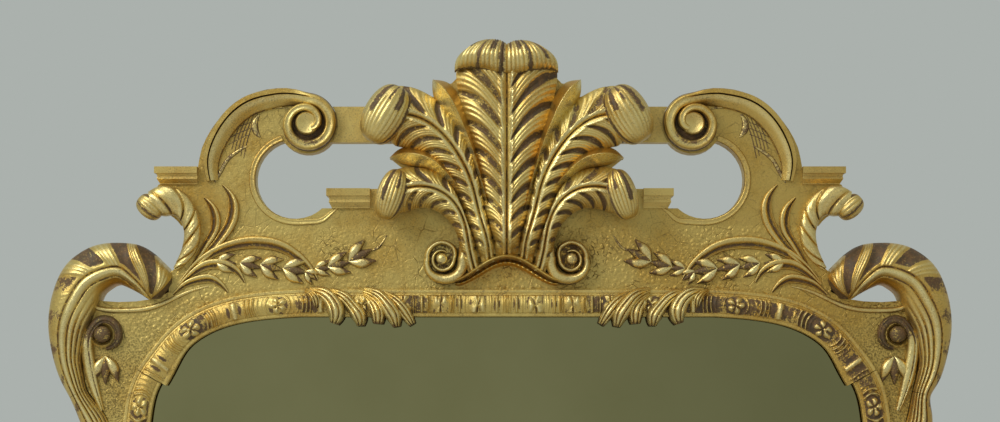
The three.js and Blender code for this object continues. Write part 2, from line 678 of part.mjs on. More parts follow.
// ---------------------------------------------------------------- hanging plates, rings, screws
function hangerPlate(side) {
  const [x, z] = hangerPlace(side);
  const round = hangerWidth / 2;
  const outline = [...arc([x, z + hangerHeight / 2 - round], round, 0, 180, 8),
    ...arc([x, z - hangerHeight / 2 + round], round, 180, 360, 8)];
  const reach = ringWire + gap + strapWall;
  const strap = new THREE.CylinderGeometry(reach, reach, strapWidth, 16);
  const bore = new THREE.CylinderGeometry(ringWire + gap, ringWire + gap, strapWidth + 2, 16);
  for (const geometry of [strap, bore]) {
    geometry.rotateZ(Math.PI / 2);
    geometry.translate(x, -ringDepth, z);
  }
  const web = block([x - strapWidth / 2, ringDepth, z - reach], [x + strapWidth / 2, hangerBack, z + reach]);
  let plate = joined([board(outline, hangerBack, pocketDepth), solid(strap), web]).subtract(solid(bore));
  for (const [sx, sz] of screwPlaces(side)) {
    const [head, shank] = [screwHead + gap, screwRadius + gap];
    const sink = [[0, hangerBack - 1], [head + 1, hangerBack - 1], [head, hangerBack],
      [shank, pocketDepth - screwNeck], [shank, pocketDepth + 1], [0, pocketDepth + 1]];
    plate = plate.subtract(turned(sink, sx, sz, 16));
  }
  return plate;
}

function hangerScrew([x, z]) {
  const end = hangerBack + screwLength;
  const profile = [[0, hangerBack], [screwHead, hangerBack], [screwRadius, pocketDepth - screwNeck],
    [screwRadius, end - screwPoint], [0, end]];
  return turned(profile, x, z, 12);
}

// A D of round wire: a straight bar with rounded corners and a bow below it.
function hangerRing(side) {
  const corner = ringRadius - ringBar;
  const outline = new THREE.Path()
    .moveTo(-ringBar, 0)
    .lineTo(ringBar, 0)
    .absarc(ringBar, -corner, corner, Math.PI / 2, 0, true)
    .absarc(0, -corner, ringRadius, 0, -Math.PI, true)
    .absarc(-ringBar, -corner, corner, Math.PI, Math.PI / 2, true);
  const points = outline.getSpacedPoints(28).slice(0, -1);
  const sides = 6;
  const place = [];
  const corners = [];
  const [x, z] = hangerPlace(side);
  points.forEach((point, i) => {
    const before = points[(i + points.length - 1) % points.length];
    const after = points[(i + 1) % points.length];
    const normal = new THREE.Vector2(after.y - before.y, before.x - after.x).normalize();
    for (let k = 0; k < sides; k++) {
      const angle = (2 * Math.PI * (k + 0.5)) / sides;
      const [out, deep] = [ringWire * Math.cos(angle), ringWire * Math.sin(angle)];
      place.push(x + point.x + normal.x * out, -ringDepth + deep, z + point.y + normal.y * out);
      const [p, q] = [i * sides + k, i * sides + ((k + 1) % sides)];
      const next = ((i + 1) % points.length) * sides;
      const [r, s] = [next + k, next + ((k + 1) % sides)];
      corners.push(p, q, s, p, s, r);
    }
  });
  const geometry = new THREE.BufferGeometry();
  geometry.setAttribute('position', new THREE.Float32BufferAttribute(place, 3));
  geometry.setIndex(corners);
  return solid(geometry);
}

// The base moulding, under the bottom rail's ground, with returned ends.
function baseMoulding() {
  const half = (side) => ledge(outX(side, -baseInset - 2), 0, baseZ, baseHeight)
    .subtract(block([-far, -far, -far], [far, boardThick, far]));
  return half(-1).add(half(1));
}

// ---------------------------------------------------------------- materials
const gilt = (color) => new THREE.MeshStandardMaterial({ color, roughness: 0.38, metalness: 0.75 });
const pine = () => new THREE.MeshStandardMaterial({ color: 0x8a6a45, roughness: 0.8, metalness: 0 });
const iron = () => new THREE.MeshStandardMaterial({ color: 0x4a4038, roughness: 0.6, metalness: 0.9 });
const glass = () => new THREE.MeshStandardMaterial({ color: 0x6b6948, roughness: 0.08, metalness: 1 });
const groundGold = 0xa8903f;
const brightGold = 0xc9ad55;

// ---------------------------------------------------------------- the assembly
const mirror = new THREE.Group();

function add(parent, name, body, material) {
  const mesh = new THREE.Mesh(geometryOf(body), material);
  mesh.name = name;
  mesh.geometry.computeVertexNormals();
  parent.add(mesh);
}

const frame = new THREE.Group();
mirror.add(frame);
add(frame, 'top_rail', topRail, gilt(groundGold));
add(frame, 'bottom_rail', bottomRail, gilt(groundGold));
add(frame, 'stile_left', leftStile, gilt(groundGold));
add(frame, 'stile_right', rightStile, gilt(groundGold));
add(frame, 'base_moulding', baseMoulding(), gilt(brightGold));

const crest = new THREE.Group();
mirror.add(crest);
add(crest, 'crest_board_centre', centreBoard(), gilt(groundGold));
add(crest, 'plume_backing', plumeBacking(), gilt(groundGold));
add(crest, 'plume_centre', plume('centre', 1, []), gilt(brightGold));
add(crest, 'plume_arch', plumeArch(), gilt(brightGold));

const glazing = new THREE.Group();
mirror.add(glazing);
add(glazing, 'mirror_plate', mirrorPlate(), glass());
for (const [name, body] of Object.entries(glazingSlips())) add(glazing, name, body, pine());
for (let i = 0; i < backboardCount; i++) add(glazing, `backboard_${i + 1}`, backboard(i), pine());

const [topMoulding, bottomMoulding] = [
  sightStraight(sightTop, 1, claspIn - gap),
  sightStraight(sightTop - sightHeight, -1, claspOut - gap),
];
add(frame, 'sight_moulding_top', topMoulding, gilt(brightGold));
add(frame, 'sight_moulding_bottom', bottomMoulding, gilt(brightGold));

for (const [side, end] of [[-1, 'left'], [1, 'right']]) {
  add(crest, `crest_board_${end}`, crestBoard(side), gilt(groundGold));
  add(crest, `c_scroll_${end}`, scrollMoulding(side), gilt(brightGold));
  add(crest, `outer_ledge_${end}`, outerLedge(side), gilt(brightGold));
  add(crest, `inner_ledge_${end}`, innerLedge(side), gilt(brightGold));
  add(crest, `bar_${end}`, bar(side), gilt(groundGold));
  add(crest, `plume_upper_${end}`, plume('upper', side, ['centre']), gilt(brightGold));
  add(crest, `plume_lower_${end}`, plume('lower', side, ['upper', 'centre']), gilt(brightGold));
  add(crest, `base_volute_${end}`, baseVolute(side), gilt(brightGold));
  add(crest, `side_leaf_${end}`, sideLeaf(side), gilt(brightGold));
  for (const [name, body] of Object.entries({ ...sideScrolls(side), ...sightMouldings(side) })) {
    add(frame, `${name}_${end}`, body, gilt(brightGold));
  }
  add(frame, `leaf_clasp_${end}`, leafClasp(side), gilt(brightGold));
  const hanger = new THREE.Group();
  mirror.add(hanger);
  add(hanger, `hanger_plate_${end}`, hangerPlate(side), iron());
  add(hanger, `hanger_ring_${end}`, hangerRing(side), iron());
  screwPlaces(side).forEach((place, i) =>
    add(hanger, `hanger_screw_${end}_${i + 1}`, hangerScrew(place), iron()));
}

export default mirror;
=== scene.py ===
# %% [markdown]
# # A carved giltwood overmantel mirror
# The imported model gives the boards, the plate and the ironwork at their real size. This lesson
# carves what a gilder would see: plumes, scrolls, leaves and mouldings, each worked out with
# numpy as a surface of two parameters. Lengths are in millimetres until a mesh is made.

# %% Load the frame
import math

import bmesh
import bpy
import numpy as np
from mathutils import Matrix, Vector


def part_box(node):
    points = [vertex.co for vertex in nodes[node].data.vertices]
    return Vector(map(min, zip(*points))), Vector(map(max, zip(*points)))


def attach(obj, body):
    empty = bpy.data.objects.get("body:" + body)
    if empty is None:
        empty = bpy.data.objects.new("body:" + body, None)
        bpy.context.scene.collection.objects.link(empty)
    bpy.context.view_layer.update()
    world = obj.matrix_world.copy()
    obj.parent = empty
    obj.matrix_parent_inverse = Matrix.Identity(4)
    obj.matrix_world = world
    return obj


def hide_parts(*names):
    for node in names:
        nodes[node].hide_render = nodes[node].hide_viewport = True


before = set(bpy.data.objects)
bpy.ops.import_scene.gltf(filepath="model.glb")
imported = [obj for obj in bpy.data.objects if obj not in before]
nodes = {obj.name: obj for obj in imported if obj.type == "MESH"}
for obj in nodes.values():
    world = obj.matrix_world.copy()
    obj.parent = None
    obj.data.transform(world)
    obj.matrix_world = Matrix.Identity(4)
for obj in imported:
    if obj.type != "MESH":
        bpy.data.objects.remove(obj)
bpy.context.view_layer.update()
MM = 0.001
SIDES = ((-1, "left"), (1, "right"))

# %% [markdown]
# ## Places that everything is set out from
# A carver sets out from a few lines: the edge of the glass, the joint under the crest, the
# face of the boards. They are read from the frame, so nothing has to be fitted afterwards.

# %% Setting out
def corners(node):
    """A CAD node's lowest and highest place in millimetres: x, z and depth in front of the wall."""
    low, high = (np.array(c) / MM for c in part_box(node))
    return {"x": (low[0], high[0]), "z": (low[2], high[2]), "depth": (-high[1], -low[1])}


moulding_box = corners("sight_moulding_top")
SIGHT_TOP = moulding_box["z"][0]
SIGHT_FOOT = corners("sight_moulding_bottom")["z"][1]
MIDDLE_Z = (SIGHT_TOP + SIGHT_FOOT) / 2
BOARD = corners("crest_board_centre")["depth"][1]
PLUME_BED = corners("plume_backing")["depth"][1]
CREST_Z = corners("crest_board_centre")["z"][0]
BASE_Z = corners("bottom_rail")["z"][0]
PLUME_X = sum(corners("plume_centre")["x"]) / 2
LEDGE_INSET = 3  # the outer ledge ends this far inside the shoulder line
SHOULDER = corners("outer_ledge_right")["x"][1] + LEDGE_INSET
SIGHT_HALF = SHOULDER + PLUME_X
TONGUE = 22  # a stile runs on this far behind the rail, above their joint
JOINT_Z = corners("stile_left")["z"][1] - TONGUE
print(f"board face {BOARD:.1f}, crest joint {CREST_Z:.1f}, opening {SIGHT_TOP:.1f} to {SIGHT_FOOT:.1f}")
print(f"plumes at x {PLUME_X:.1f}, shoulder line at {SHOULDER:.1f}, rail joint at {JOINT_Z:.1f}")


def out_x(side, out):
    """The x of a place so far outside the shoulder line."""
    return side * (SHOULDER + out)


def sight_x(side, inward):
    """The x of a place so far inside the glass's edge; the glass lies a little right of the middle."""
    return PLUME_X + side * (SIGHT_HALF - inward)


def crest_rows(side, rows):
    """Rows in the model's x and z, from rows of (out of the shoulder line, up from the crest joint, ...)."""
    rows = np.array(rows, float)
    rows[:, 0] = side * (SHOULDER + rows[:, 0])
    rows[:, 1] += CREST_Z
    return rows


def plume_rows(side, rows):
    """Rows in the model's x, from rows of (out of the plumes' middle line, ...)."""
    rows = np.array(rows, float)
    rows[:, 0] = PLUME_X + side * rows[:, 0]
    return rows


def upside_down(rows):
    """The same rows turned over about the middle of the glass."""
    rows = np.array(rows, float)
    rows[:, 1] = 2 * MIDDLE_Z - rows[:, 1]
    return rows


# %% [markdown]
# ## A smooth path
# A carved line is drawn through a few points. A natural cubic spline over the length of the
# chords gives one fair curve, and every number of a row (its width, its rise) runs smoothly too.
# Blender's own curves could do the first, but not carry a width and a rise of our own along.

# %% Paths
def smooth(rows, count, start=0.0, end=1.0):
    """Rows resampled on a natural cubic spline over the chord length of their first two numbers."""
    rows = np.asarray(rows, float)
    chords = np.hypot(*np.diff(rows[:, :2], axis=0).T)
    knots = np.concatenate([[0], np.cumsum(chords)])
    inner = np.arange(1, len(rows) - 1)
    system = np.eye(len(rows))
    system[inner, inner - 1] = chords[:-1]
    system[inner, inner] = 2 * (chords[:-1] + chords[1:])
    system[inner, inner + 1] = chords[1:]
    right = np.zeros_like(rows)
    right[1:-1] = 6 * np.diff(np.diff(rows, axis=0) / chords[:, None], axis=0)
    bend = np.linalg.solve(system, right)
    at = np.linspace(start, end, count) * knots[-1]
    i = np.clip(np.searchsorted(knots, at, side="right") - 1, 0, len(rows) - 2)
    width = chords[i][:, None]
    b = (at - knots[i])[:, None] / width
    a = 1 - b
    bulge = ((a**3 - a) * bend[i] + (b**3 - b) * bend[i + 1]) * width**2 / 6
    return a * rows[i] + b * rows[i + 1] + bulge


class Path:
    """A path as columns of numbers: place, unit normal, half width, rise and length so far."""

    def __init__(self, rows, start_length=0.0):
        rows = np.asarray(rows, float)
        self.x, self.z, self.half, self.rise = rows[:, :4].T[:, :, None]
        run = np.gradient(rows[:, :2], axis=0)
        run /= np.linalg.norm(run, axis=1)[:, None] + 1e-9
        self.nx, self.nz = run[:, 1:2], -run[:, 0:1]
        steps = np.hypot(*np.diff(rows[:, :2], axis=0).T)
        self.along = start_length + np.concatenate([[0], np.cumsum(steps)])[:, None]
        self.length = self.along[-1, 0]


def ramp(value, low, high):
    """0 below low, 1 above high, and a smooth S between them."""
    t = np.clip((value - low) / (high - low), 0, 1)
    return t * t * (3 - 2 * t)


def bump(value, middle, width):
    """A bell of height 1 at the middle, gone beyond the width on each side."""
    t = np.clip(np.abs((value - middle) / width), 0, 1)
    return (1 - t * t) ** 2


# %% [markdown]
# ## From arrays to a mesh
# Every carved piece is made of closed shells. A shell is a row of rings: the front of each ring
# is the carved section, and two more points close it behind. Two numbers ride on each point for
# the gilding. One is where the gold is worn to the red-brown clay, and it also paints the shade in
# hollows, grooves and under overhangs. The other is where the gold is burnished and a highlight is
# painted; below 0 it marks a recess whose warmer gold is a painted reflection.

# %% Shells
def tube(rings, bole_and_shade=0.0, burnish_and_painted_light=0.0):
    """A closed shell through rings of points, stations by points by (x, depth, z): a quad between two
    neighbours on one ring and the same two on the next, and a cap on the first and the last ring."""
    stations, around = rings.shape[:2]
    i = np.arange(stations - 1)[:, None] * around
    j = np.arange(around)[None, :]
    k = (j + 1) % around
    quads = np.stack([i + j, i + k, i + around + k, i + around + j], -1).reshape(-1, 4)
    ring = np.arange(around)
    caps = np.stack([ring[::-1], (stations - 1) * around + ring])
    bole_and_shade, burnish_and_painted_light = (np.broadcast_to(mark, (stations, around)).ravel() for mark in (bole_and_shade, burnish_and_painted_light))
    return {"points": rings.reshape(-1, 3), "quads": quads, "caps": caps, "bole_and_shade": bole_and_shade, "burnish_and_painted_light": burnish_and_painted_light}


def closed_behind(value):
    """The section's values with those of its two edges repeated, last edge first."""
    return np.concatenate([value, value[:, -1:], value[:, :1]], 1)


def band(path, offset, depth, back, bole_and_shade=0.0, burnish_and_painted_light=0.0):
    """A band carried along a path: place + normal x offset across it, out to depth, and flat behind."""
    shape = np.broadcast_shapes(offset.shape, depth.shape, path.x.shape)
    offset, depth, bole_and_shade, burnish_and_painted_light = (np.broadcast_to(v, shape) for v in (offset, depth, bole_and_shade, burnish_and_painted_light))
    front = np.stack([path.x + path.nx * offset, depth, path.z + path.nz * offset], -1)
    rear = front[:, [-1, 0]].copy()
    rear[..., 1] = back
    return tube(np.concatenate([front, rear], 1), closed_behind(bole_and_shade), closed_behind(burnish_and_painted_light))


# %% Pieces
SHARP_ANGLE = math.radians(48)  # faces that meet at more than this keep a crisp edge
made = {}


def mesh_object(name, shells):
    """One mesh of several closed shells, with its faces outwards and its marks as point attributes."""
    starts = np.cumsum([0] + [len(s["points"]) for s in shells])
    points = np.concatenate([s["points"] for s in shells]) * MM
    points[:, 1] *= -1
    faces = []
    for shell, first in zip(shells, starts):
        faces += (shell["quads"] + first).tolist() + (shell["caps"] + first).tolist()
    mesh = bpy.data.meshes.new(name)
    mesh.from_pydata(points.tolist(), [], faces)
    for mark in ("bole_and_shade", "burnish_and_painted_light"):
        layer = mesh.attributes.new(mark, "FLOAT", "POINT")
        layer.data.foreach_set("value", np.concatenate([s[mark] for s in shells]).astype(np.float32))
    work = bmesh.new()
    work.from_mesh(mesh)
    bmesh.ops.recalc_face_normals(work, faces=work.faces)
    work.to_mesh(mesh)
    work.free()
    mesh.shade_smooth()
    mesh.set_sharp_from_angle(angle=SHARP_ANGLE)
    carved = bpy.data.objects.new(name, mesh)
    bpy.context.scene.collection.objects.link(carved)
    return carved


def piece(name, shells, material, replaces=()):
    """A finished piece that rides on the frame and stands for the CAD nodes it names."""
    made[name] = mesh_object(name, shells)
    made[name].data.materials.append(material)
    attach(made[name], "frame")
    if replaces:
        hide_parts(*replaces)
    print(f"{name}: {len(made[name].data.polygons)} faces")


# %% [markdown]
# ## Old gilding
# Water gilding is gold leaf on red-brown clay, called bole, on a white gesso ground. Where hands
# and cloths have rubbed it the clay shows. Here the clay colour also stands for painted shade in
# hollows, a warmer gold for a painted reflection in recesses and a paler gold for painted
# highlights, and the gold deepens towards the right as painted shade. Every gilded material
# needs this, so it is a node group: built once, and given other colours and strengths in each.
# A group is filled in code with a few short words for adding nodes, which come first.

# %% Words for building nodes
def group_with(name, inputs, outputs):
    """An empty shader group with named inputs (kind, value) and outputs (kind)."""
    group = bpy.data.node_groups.new(name, "ShaderNodeTree")
    for label, kind, value in inputs:
        socket = group.interface.new_socket(name=label, in_out="INPUT", socket_type=kind)
        socket.default_value = value
    for label, kind in outputs:
        group.interface.new_socket(name=label, in_out="OUTPUT", socket_type=kind)
    return group


class Nodes:
    """Short words for adding nodes to a tree and joining them."""

    def __init__(self, tree):
        self.tree = tree

    def add(self, kind, **settings):
        """A node of a kind, with properties by name and input values by the names in its dictionary."""
        node = self.tree.nodes.new(kind)
        inputs = settings.pop("inputs", {})
        for key, value in settings.items():
            setattr(node, key, value)
        for key, value in inputs.items():
            self.give(node, key, value)
        return node

    def give(self, node, key, value):
        """A link where the value comes from another node, or the plain value."""
        if isinstance(value, bpy.types.NodeSocket):
            self.tree.links.new(value, node.inputs[key])
        else:
            node.inputs[key].default_value = value

    def math(self, operation, a, b=0.0, clamp=False):
        """One sum of two values, kept from 0 to 1 if asked."""
        node = self.add("ShaderNodeMath", operation=operation, use_clamp=clamp, inputs={0: a, 1: b})
        return node.outputs[0]

    def between(self, value, low, high, to_low=0.0, to_high=1.0):
        """The value's run from low to high, mapped smoothly on another run: a soft threshold."""
        run = {0: value, 1: low, 2: high, 3: to_low, 4: to_high}
        return self.add("ShaderNodeMapRange", interpolation_type="SMOOTHSTEP", inputs=run).outputs[0]

    def mix(self, share, a, b):
        """Colour a, with a share of colour b; the node's sockets 6 and 7 are its two colours."""
        return self.add("ShaderNodeMix", data_type="RGBA", inputs={0: share, 6: a, 7: b}).outputs[2]

    def noise(self, place, scale, detail=4.0, roughness=0.55):
        """Noise around 0.5 whose cells are about 1 / scale metres wide."""
        settings = {"Vector": place, "Scale": scale, "Detail": detail, "Roughness": roughness}
        return self.add("ShaderNodeTexNoise", inputs=settings).outputs["Fac"]

    def place(self):
        """Where the point lies in the object, in metres."""
        return self.add("ShaderNodeTexCoord").outputs["Object"]

    def part(self, vector, axis):
        """One of a vector's three numbers."""
        return self.add("ShaderNodeSeparateXYZ", inputs={0: vector}).outputs[axis]

    def feed(self, node, **values):
        """A link from each value to the node's input of that name."""
        for label, value in values.items():
            self.tree.links.new(value, node.inputs[label.replace("_", " ")])


def colour(r, g, b):
    """A colour given as it looks on a screen, 0 to 255, in the linear values that shaders use."""
    screen = np.array([r, g, b]) / 255
    linear = np.where(screen <= 0.04045, screen / 12.92, ((screen + 0.055) / 1.055) ** 2.4)
    return (*linear.tolist(), 1.0)


# %% The gilding node group
# The pale gold is a painted highlight and the recess gold a painted reflection; the two clay colours also
# serve as painted shade in hollows.
GOLD = colour(220, 195, 116)
PALE_GOLD = colour(246, 230, 164)
DEEP_GOLD = colour(208, 164, 74)
PAINTED_REFLECTION_GOLD = colour(206, 148, 34)
BOLE = colour(98, 65, 37)
DARK_BOLE = colour(56, 42, 28)
GRIME = colour(72, 60, 38)

gilding = group_with(
    "old gilding",
    [("Gold", "NodeSocketColor", GOLD), ("Bright", "NodeSocketColor", PALE_GOLD),
     ("Deep", "NodeSocketColor", DEEP_GOLD), ("Bole", "NodeSocketColor", BOLE),
     ("Wear", "NodeSocketFloat", 0.3), ("Grime", "NodeSocketFloat", 0.3),
     ("Roughness", "NodeSocketFloat", 0.32)],
    [("Color", "NodeSocketColor"), ("Roughness", "NodeSocketFloat"), ("Metallic", "NodeSocketFloat"),
     ("Height", "NodeSocketFloat")])


def fill_gilding(tree):
    """Gold in patches of deeper tone, deepened towards the right as painted shade, and paler where
    burnished as a painted highlight; red-brown with flecks of gold where the leaf has gone, and as
    painted shade in hollows; dirt all over. Below 0 the burnish mark is a recess, whose warmer gold
    is a painted reflection."""
    n = Nodes(tree)
    given = n.add("NodeGroupInput").outputs
    place = n.place()
    bole_and_shade = n.add("ShaderNodeAttribute", attribute_name="bole_and_shade").outputs["Fac"]
    burnish_and_painted_light = n.add("ShaderNodeAttribute", attribute_name="burnish_and_painted_light").outputs["Fac"]
    patches = n.noise(place, 14.0, 3.0)
    mottle = n.noise(place, 110.0, 6.0, 0.7)
    specks = n.noise(place, 480.0, 4.0, 0.75)
    gold = n.mix(n.between(patches, 0.35, 0.7), given["Gold"], given["Deep"])
    gold = n.mix(n.between(mottle, 0.3, 0.75, 0.0, 0.55), gold, given["Gold"])
    # Painted shade: the gold deepens towards the right, as the light falls from the left.
    gold = n.mix(n.between(n.part(place, "X"), 0.05, 0.45, 0.0, 0.45), gold, given["Deep"])
    # Painted reflection: recesses take a warmer gold, as gold mirrors gold there.
    gold = n.mix(n.math("MULTIPLY", burnish_and_painted_light, -1.0, clamp=True), gold, PAINTED_REFLECTION_GOLD)
    # Painted highlight: a paler gold where the burnish mark is above 0.
    bright = n.math("MULTIPLY", burnish_and_painted_light, n.between(mottle, 0.3, 0.6, 0.55, 1.0), clamp=True)
    gold = n.mix(bright, gold, given["Bright"])
    broken = n.between(mottle, 0.32, 0.68, -0.36, 0.3)
    broken = n.math("ADD", broken, n.between(specks, 0.32, 0.68, -0.24, 0.22))
    # This mask is wear to the clay and also painted shade in hollows and grooves; both take the clay colour
    # below.
    wear_and_shade = n.between(n.math("ADD", bole_and_shade, broken), 0.36, 0.62, 0.0, 0.95)
    rubbed_through = n.math("MULTIPLY", n.between(specks, 0.5, 0.66), n.between(mottle, 0.47, 0.6))
    wear_and_shade = n.math("MAXIMUM", wear_and_shade, n.math("MULTIPLY", rubbed_through, given["Wear"]))
    flecks = n.math("MULTIPLY", n.between(specks, 0.53, 0.62), n.between(mottle, 0.45, 0.56, 0.0, 0.45))
    wear_and_shade = n.math("SUBTRACT", wear_and_shade, n.math("MULTIPLY", wear_and_shade, flecks))
    clay = n.mix(n.between(mottle, 0.38, 0.62, 0.0, 0.8), DARK_BOLE, given["Bole"])
    hue = n.mix(wear_and_shade, gold, clay)
    dirt = n.math("MULTIPLY", n.between(specks, 0.45, 0.75), n.between(patches, 0.3, 0.62))
    dirt = n.math("MULTIPLY", dirt, given["Grime"])
    hue = n.mix(dirt, hue, GRIME)
    rough = n.math("ADD", given["Roughness"], n.between(mottle, 0.3, 0.7, -0.05, 0.1))
    rough = n.math("SUBTRACT", rough, n.math("MULTIPLY", burnish_and_painted_light, 0.1, clamp=True))
    rough = n.math("ADD", rough, n.math("MULTIPLY", wear_and_shade, 0.22), clamp=True)
    metal = n.math("SUBTRACT", 0.9, n.math("MULTIPLY", wear_and_shade, 0.8))
    metal = n.math("SUBTRACT", metal, n.math("MULTIPLY", dirt, 0.4), clamp=True)
    height = n.math("ADD", mottle, n.math("MULTIPLY", specks, 0.5))
    height = n.math("SUBTRACT", height, n.math("MULTIPLY", wear_and_shade, 0.3))
    n.feed(n.add("NodeGroupOutput"), Color=hue, Roughness=rough, Metallic=metal, Height=height)


fill_gilding(gilding)

# %% [markdown]
# ## The punched ground
# Between the carving the gesso is recut with a small round punch and has crackled since. Cells of
# two sizes stand for the punch marks and for the crackle. This group gives a height and a mask of
# the cracks, and only the ground uses it.

# %% The ground node group
ground_marks = group_with(
    "punched ground",
    [("Punch size", "NodeSocketFloat", 0.006), ("Crackle size", "NodeSocketFloat", 0.02)],
    [("Height", "NodeSocketFloat"), ("Cracks", "NodeSocketFloat")])


def fill_ground(tree):
    """Soft dents at the middles of small cells, and broken lines along the borders of larger ones. Both
    lie at places moved about a little by noise, so that no row of punch marks runs straight."""
    n = Nodes(tree)
    given = n.add("NodeGroupInput").outputs
    place = n.place()
    wander = n.add("ShaderNodeTexNoise", inputs={"Scale": 60.0, "Detail": 2.0, "Vector": place})
    moved = n.add("ShaderNodeVectorMath", operation="MULTIPLY_ADD",
                  inputs={0: wander.outputs["Color"], 1: (0.004, 0.004, 0.004), 2: place}).outputs[0]

    def cells(feature, size, part=1.0, **more):
        """The distance in cells of a size, or of that size's part, from their middles or edges."""
        inputs = {"Vector": moved, "Scale": n.math("DIVIDE", part, given[size]), **more}
        return n.add("ShaderNodeTexVoronoi", feature=feature, inputs=inputs).outputs["Distance"]

    dent = n.between(cells("SMOOTH_F1", "Punch size", Smoothness=0.25), 0.1, 0.6, 1.0, 0.0)
    line = n.between(cells("DISTANCE_TO_EDGE", "Crackle size"), 0.0, 0.05, 1.0, 0.0)
    hair = n.between(cells("DISTANCE_TO_EDGE", "Crackle size", 2.6), 0.0, 0.12, 1.0, 0.0)
    broken = n.math("MULTIPLY", line, n.between(n.noise(place, 45.0), 0.45, 0.62, 0.0, 0.6))
    patch = n.math("MULTIPLY", hair, n.between(n.noise(place, 11.0, 2.0), 0.55, 0.68))
    patch = n.math("MULTIPLY", patch, n.between(n.noise(place, 160.0), 0.42, 0.6))
    broken = n.math("MAXIMUM", broken, patch)
    strong = n.between(n.noise(place, 6.0, 1.0), 0.4, 0.6, 0.35, 1.0)
    height = n.math("SUBTRACT", n.math("MULTIPLY", dent, strong), n.math("MULTIPLY", broken, 1.2))
    n.feed(n.add("NodeGroupOutput"), Height=height, Cracks=broken)


fill_ground(ground_marks)

# %% [markdown]
# ## Old softwood
# Behind the gold is pine. Its growth rings are noise stretched along the board and cut into bands
# by taking the fraction of nine times its value; finer noise, stretched further, makes the pores.
# Both the gilded boards and the bare ones need it, so this is a group as well.

# %% The softwood node group
softwood = group_with(
    "old softwood",
    [("Light", "NodeSocketColor", colour(158, 122, 82)), ("Dark", "NodeSocketColor", colour(92, 66, 42))],
    [("Color", "NodeSocketColor"), ("Height", "NodeSocketFloat")])


def fill_softwood(tree):
    """Growth rings stretched along the board, pores along the grain, and the dust of two centuries."""
    n = Nodes(tree)
    given = n.add("NodeGroupInput").outputs
    place = n.place()
    along = n.add("ShaderNodeMapping", inputs={"Vector": place, "Scale": (1.6, 18.0, 18.0)}).outputs[0]
    fine = n.add("ShaderNodeMapping", inputs={"Vector": place, "Scale": (12.0, 400.0, 400.0)}).outputs[0]
    rings = n.math("FRACT", n.math("MULTIPLY", n.noise(along, 3.0, 3.0), 9.0))
    pores = n.noise(fine, 1.0, 3.0)
    dust = n.noise(place, 9.0)
    hue = n.mix(n.between(rings, 0.1, 0.95, 0.1, 0.75), given["Light"], given["Dark"])
    hue = n.mix(n.between(pores, 0.35, 0.7, 0.0, 0.5), hue, given["Dark"])
    hue = n.mix(n.between(dust, 0.45, 0.75, 0.0, 0.45), hue, colour(70, 58, 46))
    n.feed(n.add("NodeGroupOutput"), Color=hue, Height=n.math("ADD", rings, pores))


fill_softwood(softwood)

# %% [markdown]
# ## Materials
# The Principled shader stays in each material; the groups only feed its colour, roughness, metal
# and the height of a Bump node. Boards and carvings are gilded in front and bare pine behind, told
# apart by which way their faces look. The punched boards also grow darker in specks towards the
# bottom.

# %% Gilded materials
def new_material(name):
    """A new material, its Principled shader, and the words for adding nodes to it."""
    material = bpy.data.materials.new(name)
    material.use_nodes = True
    tree = material.node_tree
    return material, tree.nodes["Principled BSDF"], Nodes(tree)


def gilded(name, grain=0.0003, ground=0.0, **values):
    """Gold leaf with its own values for the gilding group; ground is how strongly the punch marks show."""
    material, shader, n = new_material(name)
    leaf = n.add("ShaderNodeGroup", node_tree=gilding, inputs=values).outputs
    hue, height = leaf["Color"], leaf["Height"]
    if ground:
        marks = n.add("ShaderNodeGroup", node_tree=ground_marks).outputs
        height = n.math("ADD", height, n.math("MULTIPLY", marks["Height"], ground))
        hue = n.mix(n.math("MULTIPLY", marks["Cracks"], 0.6), hue, GRIME)
        place = n.place()
        # Darker in specks towards the bottom of the boards.
        low = n.between(n.part(place, "Z"), -0.12, -0.02, 0.6, 0.0)
        hue = n.mix(n.math("MULTIPLY", low, n.between(n.noise(place, 420.0), 0.45, 0.6)), hue, GRIME)
    wood = n.add("ShaderNodeGroup", node_tree=softwood).outputs
    facing = n.add("ShaderNodeTexCoord").outputs["Normal"]
    behind = n.between(n.part(facing, "Y"), 0.5, 0.7)
    hue = n.mix(behind, hue, wood["Color"])
    metal = n.math("MULTIPLY", leaf["Metallic"], n.math("SUBTRACT", 1.0, behind))
    rough = n.math("MAXIMUM", leaf["Roughness"], n.math("MULTIPLY", behind, 0.75))
    relief = n.add("ShaderNodeBump", inputs={"Height": height, "Strength": 0.7, "Distance": grain})
    n.feed(shader, Base_Color=hue, Roughness=rough, Metallic=metal, Normal=relief.outputs[0])
    return material


BOARD_GOLD = colour(208, 184, 108)
carving_gold = gilded("burnished carving", grain=0.0008, Wear=0.75, Grime=0.62, Roughness=0.36)
board_gold = gilded("recut ground", grain=0.0011, ground=0.9, Wear=0.5, Grime=0.55, Roughness=0.44,
                    Gold=BOARD_GOLD, Deep=colour(200, 162, 78))
crest_gold = gilded("smoother ground", grain=0.0008, ground=0.22, Wear=0.6, Grime=0.5, Roughness=0.4,
                    Gold=BOARD_GOLD, Deep=colour(196, 156, 72))
moulding_gold = gilded("worn moulding", grain=0.0012, Wear=0.85, Grime=0.8, Roughness=0.42)
ledge_gold = gilded("gilded ledge", grain=0.0006, Wear=0.7, Grime=0.6, Roughness=0.42,
                    Gold=colour(220, 196, 120), Deep=colour(200, 164, 88))

# %% [markdown]
# ## Pine, iron and the plate
# The slips and backboards were never gilded. The hanging iron is forged and has rusted in patches.
# The plate is old silvered glass that mirrors softly: metal with an olive colour and low
# roughness does that with no glass in front, and needs no thickness. Its olive is partly the old
# silvering and partly a painted reflection of a dim olive room, and it is darker to the right as
# painted shade.

